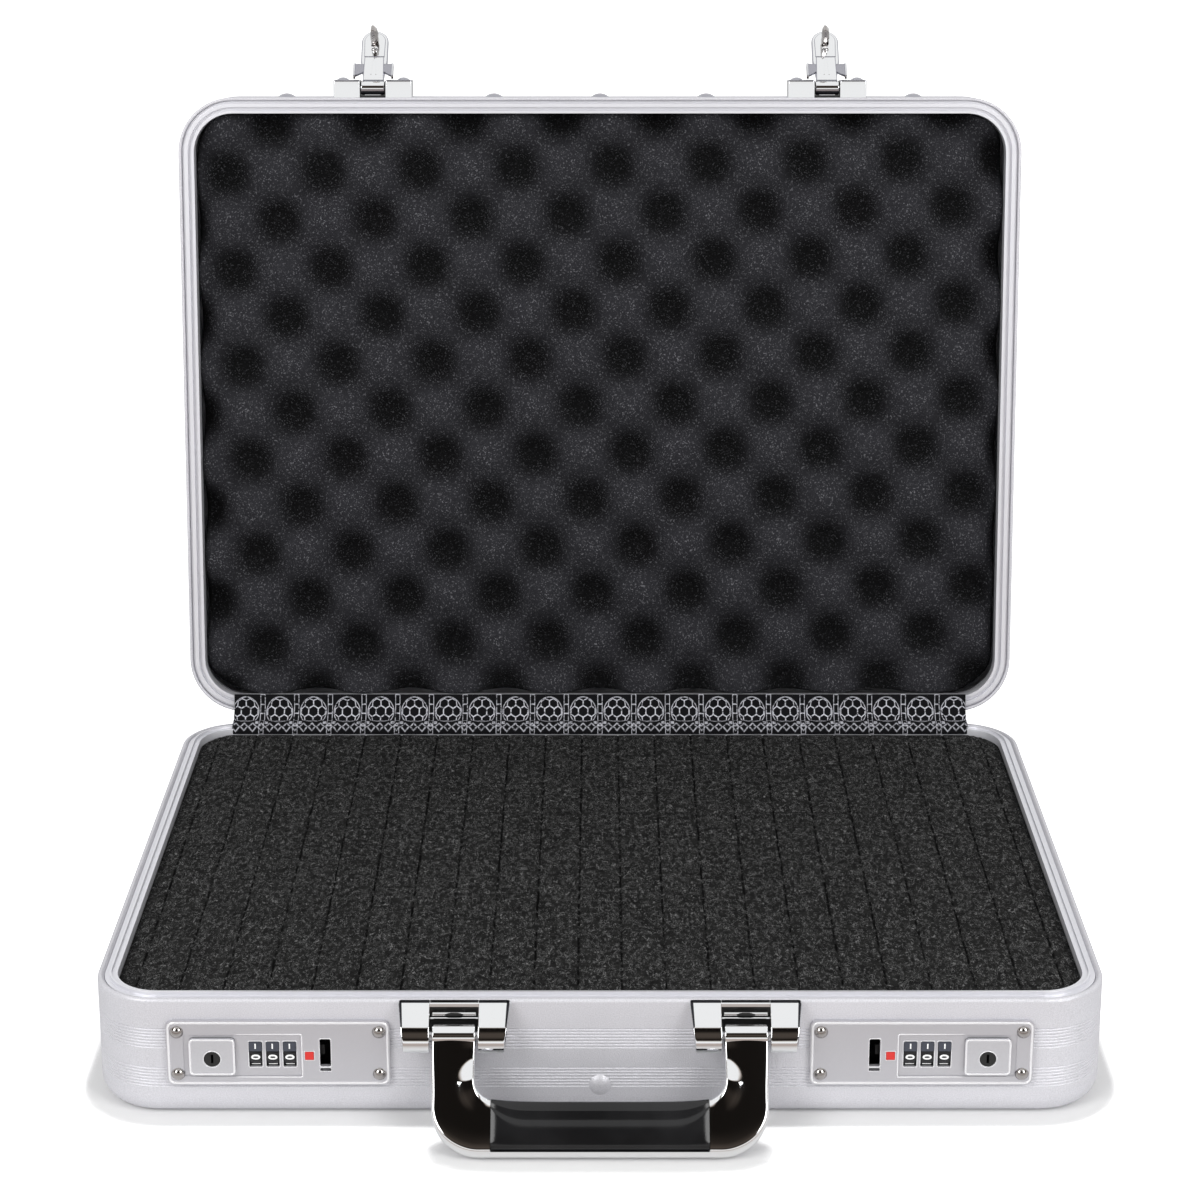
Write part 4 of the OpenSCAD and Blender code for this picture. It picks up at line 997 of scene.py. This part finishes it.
def hasps():
    """Hasps drawn as they lie on the lock: plate, ribbed body, folded wings, blade and knuckle."""
    for side, sx in SIDES:
        parts = []
        top = [(6.85 * math.cos(a), -29.85 + 6.85 * math.sin(a)) for a in
               (math.radians(180 + 180 * k / 24) for k in range(25))]
        plate = top + [(6.85, -17.0), (5.4, -7.0), (5.4, -1.5), (-5.4, -1.5), (-5.4, -7.0), (-6.85, -17.0)]
        parts.append(slab(sx, plate, -1.0, 0.9, 0.55))
        rim = [(x * 0.80, -29.6 + (z + 29.6) * 0.80) for x, z in plate[:25]] + [(5.2, -19.5), (-5.2, -19.5)]
        parts.append(slab(sx, rim, 0.5, 1.25, 0.35))
        body = [(-5.0, -19.0), (5.0, -19.0), (5.2, -12.0), (5.4, -3.6), (-5.4, -3.6), (-5.2, -12.0)]
        parts.append(slab(sx, body, 0.5, 1.9, 0.45))
        root = 4.9  # where the wings leave the body
        for s in (-1, 1):
            rib = [(s * 1.5, -7.4), (s * 0.75, -18.4), (s * 0.25, -18.4), (s * 1.0, -7.4)]
            parts.append(slab(sx, rib, 1.7, 2.15, 0.15, edge_look="chrome"))
            wing = [(s * root, -14.6), (s * root, -9.5), (s * 9.4, -5.4), (s * 10.1, -5.6), (s * 10.1, -12.0),
                    (s * 9.4, -13.2)]
            # The wings are grey all over: painted shade.
            parts.append(slab(sx, wing, 0.3, 1.7, 0.4, look="hasp_edge",
                              lift=lambda x: 0.42 * max(0.0, abs(x) - root)))
            fold = [(s * 9.2, -5.0), (s * 10.2, -5.0), (s * 10.2, -12.8), (s * 9.2, -13.2)]
            parts.append(slab(sx, fold, 1.2, 4.2, 0.3))
        # Blade with a ridge on one side, its root ring and the knuckle
        rings = []
        for y, w, h, shift in ((0.9, 2.0, 3.3, 0.0), (3.0, 1.75, 3.1, 0.0), (4.2, 1.75, 3.0, 0.0),
                               (4.5, 1.6, 2.8, -0.1), (5.4, 1.6, 2.8, -0.1), (5.7, 1.95, 3.2, 0.0),
                               (10.2, 1.6, 3.0, -0.15), (12.6, 0.85, 2.2, -0.45), (13.4, 0.35, 1.2, -0.6)):
            loop = [(-w, h * 0.55), (-w * 0.55, h), (w * 0.35, h * 0.8), (w, h * 0.25), (w, -h * 0.7),
                    (0.3 * w, -h), (-0.6 * w, -h), (-w, -h * 0.7)]
            rings.append([hasp_point(sx, shift + px, y, -28.65 + pz) for px, pz in loop])
        parts.append(loft("blade", rings, MATS["rivet"]))
        dome = [[hasp_point(sx, r * math.cos(a), y, -24.4 + r * math.sin(a))
                 for a in (2 * math.pi * k / 20 for k in range(20))]
                for r, y in ((1.75, 0.9), (1.7, 1.9), (1.45, 2.4), (0.9, 2.7), (0.3, 2.8))]
        parts.append(loft("boss", dome, MATS["chrome"]))
        profile = [(-6.05, 1.35), (-6.05, 3.0), (-5.8, 3.35), (-5.4, 3.45), (5.4, 3.45), (5.8, 3.35),
                   (6.05, 3.0), (6.05, 1.35)]

        def about(x, r, a):
            return hasp_point(sx, x, r * math.cos(a), r * math.sin(a))
        knuckle = loft("knuckle", rod(about, profile, 40), MATS["chrome"], closed_ends=False)
        # Knuckle faces that turn to the front and not up are painted grey, and those turned further down
        # dark: painted shade and reflection.
        for look in ("hasp_edge", "dark_chrome"):
            knuckle.data.materials.append(MATS[look].mat)
        for p in knuckle.data.polygons:
            low = p.normal.z < 0.12 and p.normal.y < 0
            p.material_index = 0 if not low else 1 if p.normal.z > -0.25 else 2
        parts.append(knuckle)
        o = join("hasp_body_" + side, parts)
        sharpen(o, 30.0)
        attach(o, "hasp_" + side)
        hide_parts("hasp_" + side)


def hasp_blocks():
    """Brackets that carry the hasps: two polished blocks with a grey band on their bevels as painted shade,
    and black strips in the dark gap between them that paint its shade.
    """
    top, height, deep, inner, wide = LID_D - 1.0, 12.0, 8.8, 6.35, 13.65
    for side, sx in SIDES:
        def place(x, out, z):
            return lid_place(sx * HASP_X + x, FRONT - out, z)
        parts = []
        for s in (-1, 1):
            corners = ((0, 0), (1, 0), (1, height), (0, height))
            face = soften([(s * inner + s * u * wide, top - w) for u, w in corners], 0.9)
            rings = [[place(x, out, z) for x, z in shrink(face, d)]
                     for out, d in ((0.0, 0.0), (deep - 0.8, 0.0), (deep - 0.25, 0.22), (deep, 0.8))]
            block = loft("block", rings, MATS["chrome"])
            # The grey bevel band round the block's face is painted shade.
            band_look(block, len(face), "hasp_edge")
            parts.append(block)
        # Black strips behind and beside the knuckle paint the shade of the gap.
        for x0, x1, proud in ((-6.5, 6.5, 1.1), (-6.9, -6.15, 8.2), (6.15, 6.9, 8.2)):
            gap = [(x0, top - 0.3), (x1, top - 0.3), (x1, top - height + 0.3), (x0, top - height + 0.3)]
            rings = [[place(x, out, z) for x, z in shrink(gap, d)]
                     for out, d in ((0.0, 0.0), (proud - 0.1, 0.0), (proud, 0.1))]
            parts.append(loft("gap", rings, MATS["key_black"]))
        o = join("hasp_block_" + side, parts)
        sharpen(o, 35.0)
        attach(o, "lid")
        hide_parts("hasp_bracket_" + side)


def button_springs():
    """Wire coils for the buttons' return springs, drawn at one length; the real springs shorten as the
    buttons slide out.
    """
    wire, turns, per_turn = 0.00028, 5, 20
    round_wire = [2 * math.pi * i / 8 for i in range(8)]
    for side, sx in SIDES:
        node = "button_spring_" + side
        lo, hi = (Vector(c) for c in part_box(node))
        mid, length = (lo + hi) / 2, hi.x - lo.x
        radius = (hi.z - lo.z) / 2 - wire
        rings = []
        for k in range(turns * per_turn + 1):
            a = 2 * math.pi * k / per_turn
            out = Vector((0, math.cos(a), math.sin(a)))
            along = smooth(k / (turns * per_turn)) * 0.3 + k / (turns * per_turn) * 0.7
            centre = Vector((lo.x + wire + (length - 2 * wire) * along, mid.y, mid.z)) + out * radius
            rings.append([centre + wire * (math.cos(b) * out + Vector((math.sin(b), 0, 0)))
                          for b in round_wire])
        coil = loft("button_coil_" + side, rings, MATS["steel"], body="base", slot="chrome")
        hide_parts(node)
        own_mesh(coil)


# CAD nodes

# Part of a node's name, its look, and the width in mm of the bevel on its edges
NODE_LOOKS = (
    ("lid_front_rivets", "hasp_edge", 0.0), ("side_band", "shell", 0.0), ("panel", "shell", 0.0),
    ("rim_frame", "rim", 0.15),
    ("front_rivet", "shell", 0.15), ("lock_rivets", "rivet", 0.0), ("hasp_screws", "hasp_edge", 0.0),
    ("hinge_leaf", "steel", 0.0), ("hinge_pin", "steel", 0.0), ("hinge_rivets", "steel", 0.0),
    ("handle_bracket", "chrome", 0.0), ("handle_pin", "steel", 0.0), ("lock_plate", "lock_zinc", 0.0),
    ("lock_case", "key_black", 0.0), ("dial_axle", "steel", 0.0), ("dial_index", "smoke", 0.1),
    ("dial_wheel", "gloss_black", 0.25), ("search_indicator", "red", 0.15), ("button_spring", "steel", 0.0),
    ("hasp_bracket", "chrome", 0.0), ("hasp_pin", "steel", 0.0), ("hasp_spring", "steel", 0.0),
    ("hasp_", "chrome", 0.0), ("handle_frame", "chrome", 0.0), ("handle_grip", "grip", 0.0),
    ("release_button", "button", 0.9), ("key_cylinder", "key_black", 0.15),
    ("foam", "foam_base", 0.0), ("cover_strip", "cloth", 0.0),
)


def dress_nodes():
    """Materials of the CAD nodes, and fine bevels where their edges catch the light."""
    for name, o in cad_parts.items():
        _, look, width = next(row for row in NODE_LOOKS if row[0] in name)
        o.data.materials.clear()
        o.data.materials.append(MATS[look].mat)
        for p in o.data.polygons:
            p.material_index = 0
        if width:
            weld = o.modifiers.new("weld", "WELD")
            weld.merge_threshold = 2e-6
            bevel = o.modifiers.new("bevel", "BEVEL")
            bevel.width = width * MM
            bevel.segments = 3
            bevel.limit_method = "ANGLE"
            bevel.angle_limit = math.radians(35)
            bevel.harden_normals = True


# Studio

def ray_kinds(tree):
    path = new_node(tree, "LightPath")
    return Val(tree, path.outputs["Is Camera Ray"]), Val(tree, path.outputs["Is Glossy Ray"])


def make_floor():
    """Pale floor: white to the camera, darker close under the case by its real shade and a painted contact
    shadow, and toned where metal mirrors it.
    """
    pale, toned = (0.8, 0.8, 0.8), (0.42, 0.36, 0.33)
    bpy.ops.mesh.primitive_plane_add(size=12, location=(0, 0, 0))
    floor = bpy.context.object
    floor.name = "floor"
    m = Material("floor", pale, 1.0, Specular_IOR_Level=0.0, Emission_Color=(1, 1, 1, 1))
    camera, glossy = ray_kinds(m.tree)
    near = new_node(m.tree, "AmbientOcclusion", Distance=0.015)
    near.samples = 16
    # Painted shadow: the white glow seen by the camera fades where the occlusion test finds the case close
    # by.
    seen = camera * Val(m.tree, near.outputs["AO"]).step(0.80, 0.96)
    m.link(seen * 0.85, m.bsdf.inputs["Emission Strength"])
    _, y, _ = m.axes()
    m.color(m.mix(glossy * y.step(-0.17, -0.30), pale, toned))
    floor.data.materials.append(m.mat)


def make_world():
    """White to the camera, soft light on the object, and a warm dark field for metal to mirror."""
    soft, bright, warm = 0.6, 0.96, (1.0, 0.80, 0.66, 1)
    world = bpy.data.worlds.new("world")
    scene.world = world
    world.use_nodes = True
    t = world.node_tree
    t.nodes.clear()
    kinds = ("OutputWorld", "Background", "TexCoord", "SeparateXYZ")
    out, bg, coord, split = (new_node(t, kind) for kind in kinds)
    t.links.new(coord.outputs["Generated"], split.inputs[0])
    y, z = (Val(t, split.outputs[i]) for i in (1, 2))
    camera, glossy = ray_kinds(t)
    dark = y.step(0.0, -0.2) * z.step(0.15, 0.25) * z.step(0.835, 0.79)
    glow = z.step(0.25, 0.45) * z.step(0.70, 0.55) * 0.06
    room = dark * (glow - 0.953) + bright
    level = camera.op("MAXIMUM", glossy * (room - soft) + soft)
    t.links.new(level.socket, bg.inputs["Strength"])
    tint = new_node(t, "Mix")
    tint.data_type = "RGBA"
    tint.inputs[6].default_value = (1, 1, 1, 1)
    tint.inputs[7].default_value = warm
    t.links.new((glossy * dark).socket, tint.inputs[0])
    t.links.new(tint.outputs[2], bg.inputs["Color"])
    t.links.new(bg.outputs[0], out.inputs[0])


# Name, x, z, power in watts, height aimed at, and whether gloss mirrors it
LAMPS = (
    ("lamp_left", -1.2, 1.25, 20.0, 0.1, True),
    ("lamp_right", 1.2, 1.25, 20.0, 0.1, True),
    ("lamp_front", 0.0, 0.15, 3.0, 0.0, False),
)


def make_lamps():
    for name, x, z, power, aim, mirrored in LAMPS:
        data = bpy.data.lights.new(name, "AREA")
        data.shape = "RECTANGLE"
        data.size, data.size_y = 0.9, 1.2
        data.energy = power
        lamp = bpy.data.objects.new(name, data)
        lamp.location = (x, -1.5, z)
        lamp.rotation_euler = (Vector((0, 0.05, aim)) - lamp.location).to_track_quat("-Z", "Y").to_euler()
        lamp.visible_glossy = mirrored
        scene.collection.objects.link(lamp)


make_camera()
MATS = make_materials()
dress_nodes()
handle_frame()
grip_cover()
handle_brackets()
lock_trim()
hasps()
hasp_blocks()
button_springs()
eggcrate()
base_foam()
hinge_cloth()
for side_name, _ in SIDES:
    for wheel_no in (1, 2, 3):
        dial_digits(side_name, wheel_no)
make_floor()
make_world()
make_lamps()

scene.view_settings.view_transform = "Standard"
